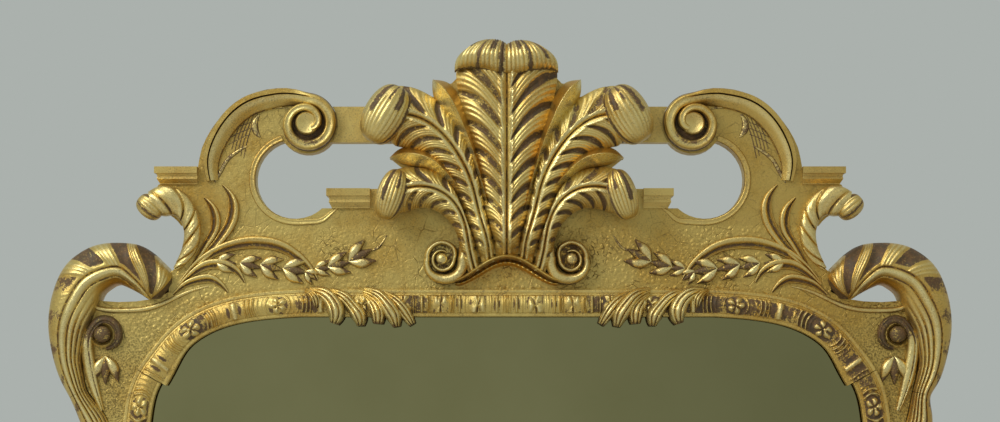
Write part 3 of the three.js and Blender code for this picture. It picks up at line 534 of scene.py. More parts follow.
# %% Pine, iron, glass
def pine():
    """Bare softwood: slips and backboards that nobody sees from the front."""
    material, shader, n = new_material("bare pine")
    wood = n.add("ShaderNodeGroup", node_tree=softwood).outputs
    relief = n.add("ShaderNodeBump", inputs={"Height": wood["Height"], "Strength": 0.5, "Distance": 0.0004})
    n.feed(shader, Base_Color=wood["Color"], Normal=relief.outputs[0])
    shader.inputs["Roughness"].default_value = 0.78
    return material


def iron():
    """Dark wrought iron with brown rust in patches."""
    material, shader, n = new_material("old iron")
    patches = n.noise(n.place(), 120.0, 5.0, 0.65)
    rust = n.between(patches, 0.48, 0.66)
    relief = n.add("ShaderNodeBump", inputs={"Height": patches, "Strength": 0.6, "Distance": 0.0006})
    n.feed(shader, Base_Color=n.mix(rust, colour(74, 68, 64), colour(112, 70, 42)),
           Roughness=n.between(rust, 0.0, 1.0, 0.42, 0.85), Metallic=n.between(rust, 0.0, 1.0, 0.95, 0.1),
           Normal=relief.outputs[0])
    return material


def plate_glass():
    """An old silvered plate: a soft reflection whose olive tint is partly a painted reflection of a dim
    room, with a few faint clouds, and duller to the right as painted shade.
    """
    material, shader, n = new_material("silvered plate")
    place = n.place()
    clouds = n.noise(place, 5.0)
    foxing = n.noise(place, 60.0, 5.0, 0.7)
    # The olive tint is partly the old silvering and partly a painted reflection of a dim olive room.
    hue = n.mix(n.between(clouds, 0.3, 0.7), colour(161, 156, 112), colour(155, 150, 106))
    hue = n.mix(n.between(foxing, 0.7, 0.8, 0.0, 0.3), hue, colour(90, 84, 60))
    # Painted shade: the plate is duller towards the right.
    hue = n.mix(n.between(n.part(place, "X"), -0.1, 0.5, 0.0, 0.5), hue, colour(120, 118, 82))
    n.feed(shader, Base_Color=hue, Roughness=n.between(clouds, 0.3, 0.7, 0.045, 0.07))
    shader.inputs["Metallic"].default_value = 1.0
    return material


bare_pine, old_iron, silvered_plate = pine(), iron(), plate_glass()
print(f"{len(bpy.data.materials)} materials, {len(bpy.data.node_groups)} node groups")

# %% [markdown]
# ## A curled tip
# Where a leaf's tip turns over towards us its outside shows as a small barrel: a spindle whose
# long axis lies in the plane of the frame. Its fibres run from pole to pole, so the grooves are
# at fixed longitudes, and the gilder left some of them as bare bole. The rib tops carry a painted
# highlight.

# %% Curled tips
NEAR_POLE = 1.54  # the latitude of the last ring, a little short of a quarter turn
BLUNT = 0.7  # the power of cos latitude: below 1 the spindle swells quickly from its poles


def curl(centre, depth, half, lean, ribs, groove, stripes):
    """A spindle: latitude runs along its axis, longitude round it; its radius is (cos latitude) to a
    power below 1, less a groove between ribs. half is (across, forward, along) and lean its tilt in
    degrees. Each stripe of red-brown has a longitude, a half width, a strength and the latitude it
    starts at. The rib tops carry a painted highlight, strongest at the middle of the axis."""
    latitude = np.linspace(-NEAR_POLE, NEAR_POLE, 64)[:, None]
    longitude = np.linspace(0, 2 * np.pi, 110, endpoint=False)[None, :]
    rib = np.abs(np.sin(longitude * ribs / 2)) ** 0.6
    swell = np.cos(latitude) ** BLUNT * (1 - groove * (1 - rib) * np.cos(latitude))
    across = half[0] * swell * np.cos(longitude)
    forward = -half[1] * swell * np.sin(longitude)
    along = half[2] * np.sin(latitude) + 0 * longitude
    angle = math.radians(lean)
    x = centre[0] + across * math.cos(angle) + along * math.sin(angle)
    z = centre[1] - across * math.sin(angle) + along * math.cos(angle)
    bole_and_shade = 0 * (latitude + longitude)
    for middle, width, strength, above in stripes:
        turn = np.angle(np.exp(1j * (longitude - math.radians(middle))))
        bole_and_shade = bole_and_shade + strength * bump(turn, 0, math.radians(width)) * ramp(latitude, above, above + 0.25)
    # Painted highlight on the rib tops, none on the red-brown stripes.
    burnish_and_painted_light = (rib * np.cos(latitude)) ** 2 * 0.7
    return tube(np.stack([x, depth + forward, z], -1), bole_and_shade, burnish_and_painted_light * (1 - np.clip(bole_and_shade, 0, 1)))


# %% [markdown]
# ## The plumes
# Each plume is a feather carved like an acanthus leaf: a double midrib, and barbs that sweep up
# and outwards with lens-shaped gaps between them, darkened with painted shade; the barbs' ridges
# and the midrib carry a painted highlight. The barb's number is (length along the plume less its
# arched sweep) over the pitch, so the same formula carves all five. Modelling each barb by hand
# would give a livelier plume, but a formula can be set out again at any size.

# %% Plumes
PLUMES = {  # out of the middle line, height, half width, rise in front of the backing, midrib's place across
    "centre": [[0, 17, 14, 1, 0], [0, 23, 15, 7, 0], [0, 31, 16, 20, 0], [0, 73, 27, 27, 0],
               [0, 126, 39, 30, 0], [0, 165, 49, 32, 0], [0, 200, 57, 34, 0], [0, 240, 65, 36, 0],
               [0, 268, 66, 35, 0], [0, 290, 56, 26, 0]],
    "upper": [[24.5, 10, 8.5, 1, -0.35], [26, 17, 9, 6, -0.35], [28, 29, 11, 19, -0.35],
              [40, 72, 15, 22, -0.3], [52, 115, 21, 25, -0.25], [67, 146, 28, 28, -0.2],
              [92, 179, 34, 31, -0.15], [124, 199, 39, 34, -0.1], [146, 205, 39, 34, 0],
              [160, 205, 34, 30, 0]],
    "lower": [[43, -2, 7.5, 1, -0.15], [45.5, 6, 8.5, 6, -0.15], [50, 24, 10, 18, -0.15],
              [58, 60, 13, 24, -0.2], [74, 88, 19, 28, -0.2], [99, 105, 24, 32, -0.1],
              [128, 108, 28, 34, 0], [150, 102, 28, 30, 0]],
}
BACKING_FOOT = 16  # up to this height a stem stands on the board, and above it on the backing
BARB_RISE, COMB_RISE, GAP_DEPTH = 3.0, 0.5, 1.7
MIDRIB_RISE, MIDRIB_GROOVE = 2.6, 2.4


def share_across(x, z, rows):
    """How far each point lies from the nearest place of a path, as a share of its half width there."""
    shape = np.broadcast_shapes(x.shape, z.shape)
    px, pz = (np.broadcast_to(v, shape).reshape(-1, 1) for v in (x, z))
    a, d = rows[:-1], np.diff(rows, axis=0)
    t = np.clip(((px - a[:, 0]) * d[:, 0] + (pz - a[:, 1]) * d[:, 1]) / (d[:, 0] ** 2 + d[:, 1] ** 2), 0, 1)
    gap = np.hypot(px - a[:, 0] - t * d[:, 0], pz - a[:, 1] - t * d[:, 1])
    return np.min(gap / (a[:, 2] + t * d[:, 2]), axis=1).reshape(shape)


def plume_shell(name, side, hidden_by=(), stations=260, across=120):
    """A feather's depth over the length along it and the share across: a dome, plus two bells for the
    midrib, plus a ridge and a fine comb for each barb, less the gap between barbs. Where another plume
    lies over this one, the depth sinks to the backing."""
    rows = smooth(plume_rows(side, PLUMES[name]), stations)
    path = Path(rows)
    u = np.linspace(-1, 1, across)[None, :]
    offset = side * path.half * u
    middle = rows[:, 4:5] * path.half  # where the midrib runs
    room = np.where(path.half * u > middle, path.half - middle, path.half + middle)
    off = np.abs(path.half * u - middle)
    reach = off / room  # 0 on the midrib, 1 on the feather's edge
    pitch = 15 + 0.34 * path.half
    steps = np.concatenate([[0], np.diff(path.along[:, 0])])[:, None]
    turn = np.sign(path.half * u - middle)
    sweep = room * (1.95 * reach - 0.95 * reach**2)
    number = np.cumsum(steps / pitch, axis=0) - sweep / pitch + 0.2 * turn
    barb = number % 1  # the place across one barb
    clear = ramp(off, 3.5, 8)  # no barbs on the midrib
    foot = ramp(path.along, 2, 22)  # nor on the bare stem
    ridge = 1 - np.abs(2 * barb - 1) ** 2.6
    lens = 0.09 + 0.17 * bump(reach, 0.5 + 0.08 * turn, 0.6)
    gap = (1 - ramp(np.minimum(barb, 1 - barb), 0.5 * lens, lens)) * clear * foot
    comb = -np.cos(2 * np.pi * 5 * barb)
    dome = 0.42 + 0.58 * (1 - np.abs(u) ** 2.6)
    rib_wide = 3.2 + 0.05 * path.half
    midrib = MIDRIB_RISE * bump(off, rib_wide, rib_wide) - MIDRIB_GROOVE * bump(off, 0, 1.5)
    barbs = clear * (BARB_RISE * ridge + COMB_RISE * comb * ridge) * foot
    depth = PLUME_BED + path.rise * dome + midrib + barbs - GAP_DEPTH * gap
    # Painted shade: red-brown in the gaps, more on one half of each plume, and in the midrib's groove.
    # Painted highlight on the barbs' ridges and on the midrib's two ridges.
    bole_and_shade = gap * (0.82 + 0.14 * side * turn) + 0.7 * bump(off, 0, 1.4)
    burnish_and_painted_light = clear * ridge * (0.25 + 0.4 * comb) * (1 - 0.6 * reach) + 0.9 * bump(off, rib_wide, 3)
    x, z = path.x + path.nx * offset, path.z + path.nz * offset
    for other in hidden_by:
        cross = share_across(x, z, smooth(plume_rows(side, PLUMES[other]), 60))
        depth = depth + (PLUME_BED + 2 - depth) * (1 - ramp(cross, 0.88, 1.0))
    back = np.where(path.z < BACKING_FOOT, BOARD, PLUME_BED)
    return band(path, offset, depth, back, bole_and_shade, np.clip(burnish_and_painted_light, 0, 1))


# %% [markdown]
# ## The folded tip of the centre plume
# The middle plume is so broad that its tip doesn't curl into a barrel: it folds over forwards like
# a cap, and the ribs of its back fan out over the fold. A spindle would be too round here, so
# upright ellipses are set side by side along a drawn line, and each is one ring of the shell.

# %% The cap
CAP = (  # place across, height of the fold's top and of its lip, forward reach
    [-69, 299, 260, 8], [-62, 303, 266, 18], [-48, 305, 266, 27], [-30, 305.5, 263, 31],
    [-14, 304.5, 257, 29], [-4, 301, 255, 24], [0, 298, 256, 21], [4, 300, 255, 24], [14, 303.5, 256, 29],
    [30, 304.5, 260, 31], [48, 303.5, 264, 27], [61, 301, 265, 18], [68, 298, 260, 8])
CAP_HALF = 70  # half the width that the ribs and stripes are shared out over
CAP_RIBS = 12  # on each half
CAP_DEPTH = 26  # the fold's middle, in front of the backing
CAP_STRIPES = (  # bare clay: share across, half width, sine of the turn over the fold where it starts
    (-0.83, 0.08, 0.2), (-0.3, 0.13, 0.0), (-0.1, 0.1, -1.4), (0.1, 0.06, 0.3), (0.3, 0.12, 0.1),
    (0.45, 0.08, -1.4), (0.78, 0.08, -0.6), (-0.55, 0.05, -1.4))


def smooth_column(values):
    """The values after each has been drawn a little towards its two neighbours."""
    return np.concatenate([values[:1], (values[:-2] + 4 * values[1:-1] + values[2:]) / 6, values[-1:]])


def folded_cap(across=240, around=70):
    """Upright rings side by side, each an ellipse from the fold's top to its lip; the tops lie closer
    together than the lips, so the ribs fan out. A rib is half a wave of a sine over the place across."""
    rows = np.array(CAP, float)
    order = np.linspace(0, len(rows) - 1, across)
    columns = (np.interp(order, np.arange(len(rows)), smooth_column(column)) for column in rows.T)
    place, top, lip, reach = (column[:, None] for column in columns)
    share = place / CAP_HALF
    angle = np.linspace(0, 2 * np.pi, around, endpoint=False)[None, :]
    ribs = np.abs(np.sin(np.pi * CAP_RIBS * share)) ** 0.6
    size = 1 - 0.06 * (1 - ribs)
    height = (top + lip) / 2 + (top - lip) / 2 * size * np.sin(angle)
    gather = 1 - 0.42 * ((1 + np.sin(angle)) / 2) ** 3
    depth = PLUME_BED + CAP_DEPTH + reach * size * np.cos(angle)
    bole_and_shade = sum(bump(share, at, wide) * ramp(np.sin(angle), start, start + 0.5)
               for at, wide, start in CAP_STRIPES)
    # Painted shade along the fold's lip, where it overhangs.
    bole_and_shade = bole_and_shade + 0.7 * (1 - ramp(np.sin(angle), -0.95, -0.8))
    rings = np.stack([PLUME_X + place * gather, depth, height], -1)
    # Painted highlight on the rib tops that face us.
    return tube(rings, bole_and_shade, 0.7 * (ribs * np.cos(angle)) ** 2)


# %% [markdown]
# ## Five plumes
# The centre plume lies on top, the upper ones under it and the lower ones under both. Each is one
# closed shell for the feather and one for its curled tip, which are left crossing each other: a
# boolean join would cost much time and show nothing new. The tips' stripes of bare clay are given
# by longitude, with 270 degrees towards us.

# %% Carve the plumes
TOWARDS_US = 270
UPPER_TIP = {"centre": (160, 205), "depth": PLUME_BED + 26, "half": (29, 33, 41), "lean": -30, "ribs": 26,
             "stripes": ((-26, 18, 1, 0.1), (42, 18, 1, -0.3), (8, 9, 0.9, 0.3), (-62, 12, 1, -1.5))}
LOWER_TIP = {"centre": (152, 99), "depth": PLUME_BED + 24, "half": (20, 27, 34), "lean": -18, "ribs": 22,
             "stripes": ((30, 20, 1, -0.5), (-18, 13, 0.9, 0.1), (-58, 12, 1, -1.5))}


def plume_tip(side, centre, depth, half, lean, ribs, stripes):
    """A curled tip, mirrored with the side it stands on."""
    turned_stripes = [(TOWARDS_US + side * turn, *stripe) for turn, *stripe in stripes]
    return curl((PLUME_X + side * centre[0], centre[1]), depth, half, side * lean, ribs, 0.06, turned_stripes)


centre_shells = [plume_shell("centre", 1, stations=330, across=170), folded_cap()]
piece("plume_centre_carved", centre_shells, carving_gold, ["plume_centre"])
for side, end in SIDES:
    for name, tip, over in (("upper", UPPER_TIP, ["centre"]), ("lower", LOWER_TIP, ["upper", "centre"])):
        piece(f"plume_{name}_{end}_carved", [plume_shell(name, side, over), plume_tip(side, **tip)],
              carving_gold, [f"plume_{name}_{end}"])

# %% [markdown]
# ## Pointed leaves between the plumes
# Smooth leaf tips fill the gaps between the plumes. Each is a folded blade: one slope with a
# painted highlight, the other with painted shade in a warmer gold. The fold has to stay crisp, so
# the faces' normals are split there by their angle.

# %% Leaf tips
UPPER_LEAF = [[24, 80, 2, 20], [36, 125, 5, 28], [49, 165, 8, 36], [64, 200, 12, 40], [79, 228, 15, 40],
              [90, 243, 11, 32], [98, 252, 1.2, 22]]
LOWER_LEAF = [[60, 105, 3, 24], [80, 126, 8, 34], [102, 144, 11, 38], [122, 150, 13, 36], [140, 151, 10, 30],
              [155, 148, 1.2, 20]]
FOLD = 0.2  # the fold's place, from -1 at the lower edge to 1 at the upper


def leaf_blade(rows, back, stations=90, across=30):
    """A smooth pointed leaf: two slopes that meet on a sharp fold, the first with a painted highlight
    and the second with painted shade.
    """
    path = Path(smooth(rows, stations))
    u = np.linspace(-1, 1, across)[None, :]
    height = np.where(u < FOLD, (u + 1) / (FOLD + 1), (1 - u) / (1 - FOLD))
    depth = back + path.rise * (0.4 + 0.6 * height)
    # Painted highlight on the first slope, painted shade in a warmer gold on the second; red-brown edges.
    burnish_and_painted_light = np.where(u < FOLD, ramp(height, 0.05, 0.4), -0.6 * ramp(height, 0.0, 0.3))
    return band(path, path.half * u, depth, back, 0.35 * ramp(np.abs(u), 0.85, 1.0), burnish_and_painted_light)


for side, end in SIDES:
    for name, rows in (("upper", UPPER_LEAF), ("lower", LOWER_LEAF)):
        blade = plume_rows(side, rows)[::-side]
        piece(f"leaf_tip_{name}_{end}", [leaf_blade(blade, PLUME_BED - 1)], carving_gold)

# %% [markdown]
# ## The scrolls of the crest
# The C-scroll is a moulding: a flat outer fillet, a dark quirk and a broad rounded slope
# down to the board. It is carried along the curve and on into the volute, where the path is a
# spiral whose radius shrinks with the angle, and where the moulding turns into a plain roll.

# %% C-scrolls
VOLUTE = (-206, 136)
SWEEP = [[-80, 60, 8, 8], [-78, 85, 11, 12], [-86, 112, 13, 14], [-103, 139, 14, 16], [-131, 161, 14, 16],
         [-165, 170, 13, 15]]
TURNS = [[98, 32, 9, 16], [180, 31, 8.2, 17], [270, 29.5, 7.6, 18], [360, 26, 6.6, 19], [450, 21, 6, 19.5],
         [540, 14, 6, 20], [590, 9, 5, 19]]  # angle, radius, half width, rise


def spiral(centre, turns, steps):
    """Rows on a spiral: centre + radius x (cos, sin) of the angle. The angle, radius, half width and rise
    run evenly from each of the given turns to the next."""
    knots = np.arange(len(turns))
    order = np.linspace(0, knots[-1], steps)
    angle, radius, half, rise = (np.interp(order, knots, column) for column in np.array(turns, float).T)
    x = centre[0] + radius * np.cos(np.radians(angle))
    z = centre[1] + radius * np.sin(np.radians(angle))
    return np.stack([x, z, half, rise], -1)


def scroll_section(path, t, back):
    """Share across from the outer edge: fillet, quirk and a rounded slope, as depths."""
    fillet = 0.8 * ramp(t, 0.0, 0.05) * (1 - ramp(t, 0.27, 0.31))
    fall = np.clip((t - 0.34) / 0.66, 0, 1)
    slope = (1.02 - 0.78 * fall**1.4) * (1 - ramp(t, 0.94, 1.0)) * ramp(t, 0.3, 0.37)
    height = np.maximum(fillet, np.maximum(slope, 0.35 * ramp(t, 0, 0.05) * (1 - t)))
    # Painted shade in the quirk and along both edges; a painted highlight on the slope.
    bole_and_shade = 1.1 * bump(t, 0.305, 0.05) + 0.6 * bump(t, 0.97, 0.06) + 0.6 * bump(t, 0, 0.07)
    return back + path.rise * height, bole_and_shade, 0.6 * bump(t, 0.5, 0.22)


def turned(place, profile, bole_and_shade=0.0, burnish_and_painted_light=0.0, steps=72):
    """A turned boss: [radius, rise] from its middle to its edge, spun about an axis towards us."""
    radius, rise = np.array(profile, float).T[:, :, None]
    radius = np.maximum(radius, 0.15)  # a small hole stands for the pole, and its cap closes it
    angle = np.linspace(0, 2 * np.pi, steps, endpoint=False)[None, :]
    x = place[0] + radius * np.cos(angle)
    z = place[1] + radius * np.sin(angle)
    return tube(np.stack([x, BOARD + rise + 0 * angle, z], -1), bole_and_shade, burnish_and_painted_light)


SCROLL_BED = [(0, 4), (29, 4), (30, 3), (30, 0)]
SCROLL_EYE = [(0, 14), (5, 14), (10, 15.5), (13, 17), (15, 15.5), (15.8, 8), (15.8, 0)]


def c_scroll(side):
    """The moulding along the sweep and the spiral, blending into a roll; a bed and an eye fill the volute."""
    rows = np.concatenate([smooth(SWEEP, 60), spiral(VOLUTE, TURNS, 90)])
    path = Path(smooth(crest_rows(side, rows), 460))
    x, z = crest_rows(side, [VOLUTE])[0]
    t = np.linspace(0, 1, 50)[None, :]
    u = 2 * t - 1
    depth, bole_and_shade, burnish_and_painted_light = scroll_section(path, t, BOARD)
    in_volute = ramp(path.along, path.length * 0.42, path.length * 0.5)
    roll = BOARD + path.rise * (0.3 + 0.7 * np.clip(1 - np.abs(u) ** 5, 0, 1)) - 1.2 * bump(t, 0.5, 0.34)
    depth = depth + (roll - depth) * in_volute
    # In the volute the roll's feet take painted shade, and so does the lower part of the coil.
    bole_and_shade = bole_and_shade * (1 - in_volute) + in_volute * ramp(np.abs(u), 0.78, 0.95)
    bole_and_shade = bole_and_shade + 0.5 * in_volute * ramp(z - path.z, -6, 24) * ramp(t, 0.1, 0.7)
    moulding = band(path, -side * path.half * u, depth, BOARD, bole_and_shade, burnish_and_painted_light)
    # The sunk bed is dark with painted shade; the eye carries a painted highlight.
    return [moulding, turned((x, z), SCROLL_BED, bole_and_shade=0.9), turned((x, z), SCROLL_EYE, burnish_and_painted_light=0.3)]


for side, end in SIDES:
    piece(f"c_scroll_{end}_carved", c_scroll(side), carving_gold, [f"c_scroll_{end}"])

# %% [markdown]
# ## The small volutes under the plumes, and the arch
# Two little scrolls with a raised eye flank the foot of the plumes, and a low bracket with a row
# of beads arches from one to the other over the moulding of the glass. The scroll is a spiral as
# before, but a hand drew it, so each eighth of a turn has its own radius: bold outside, close
# inside. The arch is carried along a cosine, which leaves and meets the level smoothly.

# %% Base volutes
BASE_VOLUTE = (86, 15)  # out of the plumes' middle line, height
BASE_TURNS = [  # angle, radius, half width, rise
    [62, 56, 5, 16], [45, 41, 6, 20], [25, 31, 7, 24], [0, 27.5, 7.6, 25], [-45, 29.5, 8, 23],
    [-90, 26.5, 7.2, 21], [-135, 24, 5.4, 21], [-180, 19.5, 4.2, 21], [-225, 21, 3.8, 22],
    [-270, 22, 3.6, 22], [-315, 21, 3.6, 22], [-360, 16, 3.4, 22], [-405, 15.5, 3.2, 22],
    [-450, 15, 3, 21], [-495, 13.5, 3, 20], [-540, 12, 2.8, 20], [-600, 11.5, 2.6, 19],
    [-660, 10.5, 2, 18]]
BASE_BED = [(0, 9), (18, 9), (19.5, 7), (19.5, 0)]
BASE_EYE = [(0, 24), (3.4, 23.4), (6.2, 21.6), (7.8, 17), (7.8, 0)]


def base_volute(side):
    """A half-round roll wound inwards on the spiral, over a sunk bed, round a domed eye."""
    x, z = PLUME_X + side * BASE_VOLUTE[0], BASE_VOLUTE[1]
    rows = spiral((0, 0), BASE_TURNS, 120)
    rows[:, 0] = x - side * rows[:, 0]
    rows[:, 1] += z
    path = Path(smooth(rows, 320))
    u = np.linspace(-1, 1, 18)[None, :]
    depth = BOARD + path.rise * (0.45 + 0.55 * np.sqrt(1 - u**2))
    # Painted shade at the roll's feet and in the sunk bed; painted highlight on the roll's crown and the eye.
    winding = band(path, path.half * u, depth, BOARD, ramp(np.abs(u), 0.8, 1.0), 0.7 * (1 - np.abs(u)))
    return [winding, turned((x, z), BASE_BED, bole_and_shade=0.62), turned((x, z), BASE_EYE, bole_and_shade=0.3, burnish_and_painted_light=0.5)]


# %% The arch
MOULDING_WIDTH = moulding_box["z"][1] - SIGHT_TOP
ARCH_HALF = 68  # half its span
ARCH_FOOT = 9.5  # its ends, over the moulding
ARCH_RISE = 30.5
BEAD_PITCH = 7.0


def arch_shells():
    """A bracket along half a cosine wave each way: (0.5 + 0.5 cos) to a power, with a rounded upper
    part, a flat lower part and a row of beads on it."""
    place = np.linspace(-ARCH_HALF, ARCH_HALF, 160)
    bell = (0.5 + 0.5 * np.cos(np.pi * place / ARCH_HALF)) ** 0.8
    height = SIGHT_TOP + MOULDING_WIDTH + ARCH_FOOT + ARCH_RISE * bell
    path = Path(np.stack([PLUME_X + place, height, 4.5 + 4 * bell**0.4, 21 + 2 * bell], -1))
    u = np.linspace(-1, 1, 28)[None, :]
    upper, lower = 0.55 + 0.45 * bump(u, -0.45, 0.6), 0.35 + 0.3 * bump(u, 0.6, 0.4)
    beads = bump(np.mod(path.along, BEAD_PITCH), BEAD_PITCH / 2, 3.0) * bump(u, 0.55, 0.4)
    depth = BOARD + path.rise * np.where(u < 0.1, upper, lower) + 1.8 * beads
    # Painted highlight on the beads; painted shade in the step, and a warmer gold on the flat lower part as
    # painted reflection.
    burnish_and_painted_light = beads - 0.8 * ramp(u, 0.0, 0.2)
    return [band(path, path.half * u, depth, BOARD, 0.7 * bump(u, 0.12, 0.14), burnish_and_painted_light)]


for side, end in SIDES:
    piece(f"base_volute_{end}_carved", base_volute(side), carving_gold, [f"base_volute_{end}"])
piece("plume_arch_carved", arch_shells(), carving_gold, ["plume_arch"])

# %% [markdown]
# ## The shoulders and side bands
# One big C runs from a rolled end over the shoulder, down the outside and into its reflection at
# the foot. Over the shoulder its outer half is gadrooned, with fat ribs and hollows in turn, the
# hollows red-brown as painted shade; beside the hole runs a burnished roll with a painted
# highlight; down the side both die into parallel reeds with painted highlights and painted shade
# in their quirks. The whole is one surface that is cut at the joints, because the real pieces
# were glued there.

# %% Side scrolls
SHOULDER_ROWS = [
    [-4.5, 24, 7, 14], [-10, 31, 14.5, 21], [-12, 37, 20, 26], [-10.6, 42.3, 23, 28], [-6, 47.5, 25.5, 30],
    [-0.6, 52.7, 29.3, 32], [6, 57.2, 33, 33], [22, 65, 32, 33],
    [42, 71, 28, 32], [69, 66, 30, 34],
    [90, 50, 31, 34], [102, 24, 31, 32], [110, -6, 28, 28], [112, -37, 23, 24], [111, -57, 19, 22],
    [105, -81, 16, 20], [97, -102, 13, 18]]
POLE = (2.7, 23.6)  # where the fibres of the rolled end meet
WAIST_ROWS = [[76, -139, 18, 18], [62, -178, 15, 16], [52, -228, 11, 14], [47, -300, 9, 14]]


def side_rows(side):
    """The side's whole path: down from the rolled end to the middle, and its reflection to the foot."""
    upper = [[out_x(side, out), SIGHT_TOP + up, half, rise] for out, up, half, rise in SHOULDER_ROWS]
    waist = [[sight_x(side, -out), SIGHT_TOP + up, half, rise] for out, up, half, rise in WAIST_ROWS]
    upper = smooth(upper + waist, 300)
    return np.concatenate([upper, upside_down(upper)[::-1][1:]])


def side_section(path, inward):
    """From outer to inner edge: gadroons that fade to a plain band, a burnished roll, reeds and a fillet."""
    t = (inward + 1) / 2
    from_end = np.minimum(path.along, SIDE_LENGTH - path.along)
    roll_at = 1.05 - 0.35 * ramp(from_end, 30, 85) - 0.3 * ramp(from_end, 90, 230)
    zone = roll_at - 0.11
    wave = (from_end + 20 + 0.9 * path.half * t) / 38 % 1
    light = ramp(wave, 0.0, 0.06) * (1 - ramp(wave, 0.36, 0.42))
    ribs = (0.5 + 0.5 * np.cos(2 * np.pi * (wave - 0.08) / 0.125)) * light
    hollow = bump(wave, 0.71, 0.32)
    in_zone = 1 - ramp(t, zone - 0.05, zone)
    round_end = 1 - ramp(t, zone - 0.14, zone - 0.06)
    fade = 1 - ramp(from_end, 105, 190)
    roll = bump(t, roll_at, 0.1)
    quirk = bump(t, zone, 0.035) + bump(t, roll_at + 0.12, 0.03)
    reeded = ramp(from_end, 130, 220)
    reeds = ((1, 0.2, 0.07), (0.8, 0.33, 0.06), (0.6, 0.45, 0.05))
    reed = sum(high * bump(t, roll_at + beyond, wide) for high, beyond, wide in reeds)
    quirk = quirk + reeded * sum(bump(t, roll_at + beyond, 0.03) for beyond in (0.27, 0.395, 0.51))
    dome = 0.55 + 0.42 * np.sqrt(np.clip(1 - np.abs(inward) ** 2.2, 0, 1))
    depth = dome * (BOARD + path.rise) + 2.2 * roll + 1.5 * reeded * reed - 2.0 * quirk
    depth = depth + fade * in_zone * (1.0 * light + 1.0 * ribs - 3.0 * hollow * round_end)
    recess = ramp(t, 0.82, 0.9) * (1 - ramp(from_end, 90, 160)) * ramp(from_end, 50, 80)
    depth = depth - 4.0 * recess
    smudge = bump(wave, 0.7, 0.4) * bump(t, zone * 0.55, 0.3) * (1 - ramp(from_end, 300, 460))
    # Painted shade: red-brown in the gadroons' hollows and the quirks; further down it also makes smudges.
    # The ribs, roll and reeds carry a painted highlight, and the recess a warmer gold as painted reflection.
    bole_and_shade = fade * in_zone * round_end * ramp(hollow, 0.08, 0.25) + 0.72 * quirk
    bole_and_shade = bole_and_shade + (1 - fade) * in_zone * (0.6 * smudge + 0.35 * bump(t, 0, 0.12))
    burnish_and_painted_light = fade * in_zone * 0.6 * ribs + 0.95 * roll + 0.85 * reeded * reed - 0.8 * recess
    return depth, bole_and_shade, np.clip(burnish_and_painted_light, -1, 1)


SIDE_LENGTH = Path(side_rows(1)).length


def fan_out(path, side):
    """Near each end the section turns, so that its inner edge stays on the pole and the outer edge swings
    round it: the normal leans from the path's own towards the line to the pole."""
    up = SIGHT_TOP + POLE[1]
    to_x = out_x(side, POLE[0]) - path.x
    to_z = np.where(path.z > MIDDLE_Z, up, 2 * MIDDLE_Z - up) - path.z
    reach = np.hypot(to_x, to_z)
    share = 1 - ramp(np.minimum(path.along, SIDE_LENGTH - path.along), 32, 98)
    path.nx = path.nx + share * (side * to_x / reach - path.nx)
    path.nz = path.nz + share * (side * to_z / reach - path.nz)
    size = np.hypot(path.nx, path.nz)
    path.nx, path.nz = path.nx / size, path.nz / size
    path.half = path.half + share**6 * (reach - path.half)


def side_part(side, start, end, stations):
    """The surface between two shares of the side's length; from the wall forward, as a real piece is."""
    rows = side_rows(side)
    path = Path(smooth(rows, stations, start, end), start * SIDE_LENGTH)
    fan_out(path, side)
    inward = np.linspace(-1, 1, 72)[None, :]
    depth, bole_and_shade, burnish_and_painted_light = side_section(path, inward)
    return band(path, side * path.half * inward, depth, 0.0, bole_and_shade, burnish_and_painted_light)


def share_at(height, rows):
    """The share of a side scroll's length at which it passes a height on its way down."""
    path = Path(rows)
    falling = np.argmax(rows[:, 1])
    return np.interp(-height, -rows[falling:, 1], path.along[falling:, 0]) / path.length


SLIT = 0.4 / SIDE_LENGTH  # the open joint, as a share of the length
for side, end in SIDES:
    upper_joint, lower_joint = (share_at(z, side_rows(side)) for z in (JOINT_Z, 2 * MIDDLE_Z - JOINT_Z))
    for name, start, stop, count in (("shoulder_scroll", 0, upper_joint - SLIT, 380),
                                     ("side_band", upper_joint, lower_joint, 260),
                                     ("foot_scroll", lower_joint + SLIT, 1, 380)):
        piece(f"{name}_{end}_carved", [side_part(side, start, stop, count)], carving_gold, [f"{name}_{end}"])

# %% [markdown]
# ## The side leaves
# A leaf climbs beside the notch of each shoulder, cut across in slanting facets, and turns over in
# a ball at its tip. The facets are one saw wave over (length along + a slant across), which gives
# every cut its steep lower edge; the ball is the spindle of the plumes' tips again.

# %% Side leaves
LEAF_ROWS = [[-31, -58, 3, 6], [-48, -35, 9, 12], [-54, -10, 11, 16], [-49, 12, 13, 18], [-35, 28, 17, 22],
             [-15, 32, 20, 26], [0, 29, 16, 24]]
LEAF_BALL = (2, 24)


